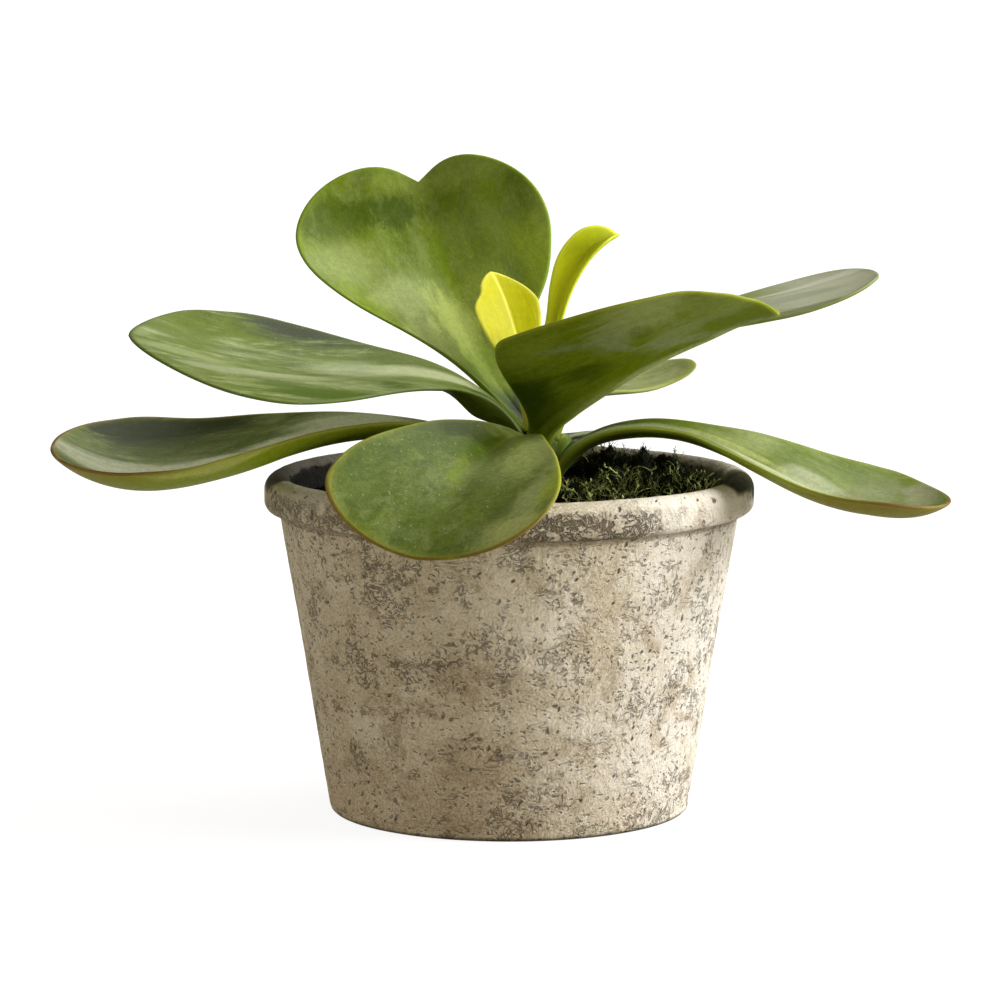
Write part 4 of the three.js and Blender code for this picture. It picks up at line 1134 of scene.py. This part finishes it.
def moss_tree(finish, shapes):
    tree, given, result = new_tree("moss_growth", {"Sprigs": 1000.0, "Tufts": 1000.0, "Threads": 100.0,
                                                   "Size": 1.0, "Light": 1.0, "Seed": 1})
    growths = []
    for extra, (label, shape) in enumerate(shapes.items()):
        seed = step(tree, "ShaderNodeMath", {0: given["Seed"], 1: 10.0 * extra}, operation="ADD").outputs[0]
        source = step(tree, "GeometryNodeObjectInfo", {"Object": shape})
        low, high = LEAN[label]
        turn = chance(tree, (-0.25, low, 0), (0.25, high, 6.283), seed)
        size = step(tree, "ShaderNodeMath", {0: chance(tree, 0.55, 1.15, seed), 1: given["Size"]},
                    operation="MULTIPLY")
        placed = scattered(tree, given, given[label], seed, source.outputs["Geometry"], turn,
                           size.outputs[0])
        shade = step(tree, "ShaderNodeMath", {0: chance(tree, *TONES[label], 7), 1: given["Light"]},
                     operation="MULTIPLY")
        toned = step(tree, "GeometryNodeStoreNamedAttribute",
                     {"Geometry": placed, "Name": "tone", "Value": shade.outputs[0]},
                     data_type="FLOAT", domain="INSTANCE")
        growths.append(toned.outputs["Geometry"])
    return grown_on(tree, given, result, finish, growths)


moss_shapes = {"Sprigs": sprig_shape(), "Tufts": tuft_shape(), "Threads": thread_shape()}
moss_growth = moss_tree(moss_skin(), moss_shapes)
for bed_name, bed in MOSS_BEDS.items():
    moss = mat_shape(bed_name, bed)
    apply_tree(moss, moss_growth, {"Sprigs": SPRIGS, "Tufts": TUFTS, "Threads": THREADS * bed["threads"],
                                   "Size": bed["size"], "Light": bed["light"], "Seed": bed["seed"]})
    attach(moss, "root")
    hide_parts(bed_name)
for shape in moss_shapes.values():
    bpy.data.objects.remove(shape)

# ---- floor and light ----
# A plain white table that runs out of sight, a broad soft lamp high on the right and
# a bright room all round.
FLOOR_HALF = 30000
ROOM_BELOW, ROOM_ABOVE = (0.50, 0.46, 0.38, 1), (0.21, 0.185, 0.145, 1)
floor = mesh_object("table_top", [(-FLOOR_HALF, -FLOOR_HALF, 0), (FLOOR_HALF, -FLOOR_HALF, 0),
                                  (FLOOR_HALF, FLOOR_HALF, 0), (-FLOOR_HALF, FLOOR_HALF, 0)], [(0, 1, 2, 3)])
white = Finish("white_table", 0.9, Base_Color=(0.2, 0.2, 0.2, 1), Specular_IOR_Level=0,
               Emission_Color=(1, 1, 1, 1), Emission_Strength=0.9)
floor.data.materials.append(white.material)
floor.visible_diffuse = False      # the table is lit, but throws no light back on the pot
floor.visible_glossy = False


def lamp(name, azimuth, elevation, strength, spread, colour):
    """A distant soft lamp; azimuth 0 is behind the viewer and 90 on the right."""
    light = bpy.data.lights.new(name, "SUN")
    light.energy = strength
    light.angle = math.radians(spread)
    light.color = colour
    made = bpy.data.objects.new(name, light)
    side, rise = math.radians(azimuth), math.radians(elevation)
    towards = Vector((math.sin(side) * math.cos(rise), -math.cos(side) * math.cos(rise), math.sin(rise)))
    made.rotation_euler = towards.to_track_quat("Z", "Y").to_euler()
    bpy.context.scene.collection.objects.link(made)


lamp("key_lamp", 84, 20, 4.2, 45, (1.0, 1.0, 1.0))
lamp("top_lamp", 125, 50, 1.9, 60, (1.0, 0.985, 0.95))
lamp("side_lamp", -88, 18, 0.4, 70, (1.0, 0.95, 0.85))
lamp("front_lamp", 25, 8, 0.3, 80, (1.0, 0.93, 0.8))

room = bpy.data.worlds.new("room")
room.use_nodes = True
sky = room.node_tree.nodes["Background"]
way = step(room.node_tree, "ShaderNodeTexCoord").outputs["Generated"]
rise = step(room.node_tree, "ShaderNodeSeparateXYZ", {"Vector": way}).outputs["Z"]
share = step(room.node_tree, "ShaderNodeMapRange", {"Value": rise, "From Min": -0.3, "From Max": 0.1},
             interpolation_type="SMOOTHSTEP").outputs["Result"]
glow = step(room.node_tree, "ShaderNodeMix", {0: share, 6: ROOM_BELOW, 7: ROOM_ABOVE},
            data_type="RGBA").outputs[2]
room.node_tree.links.new(glow, sky.inputs["Color"])
sky.inputs["Strength"].default_value = 1
bpy.context.scene.world = room
bpy.context.scene.view_settings.view_transform = "Standard"
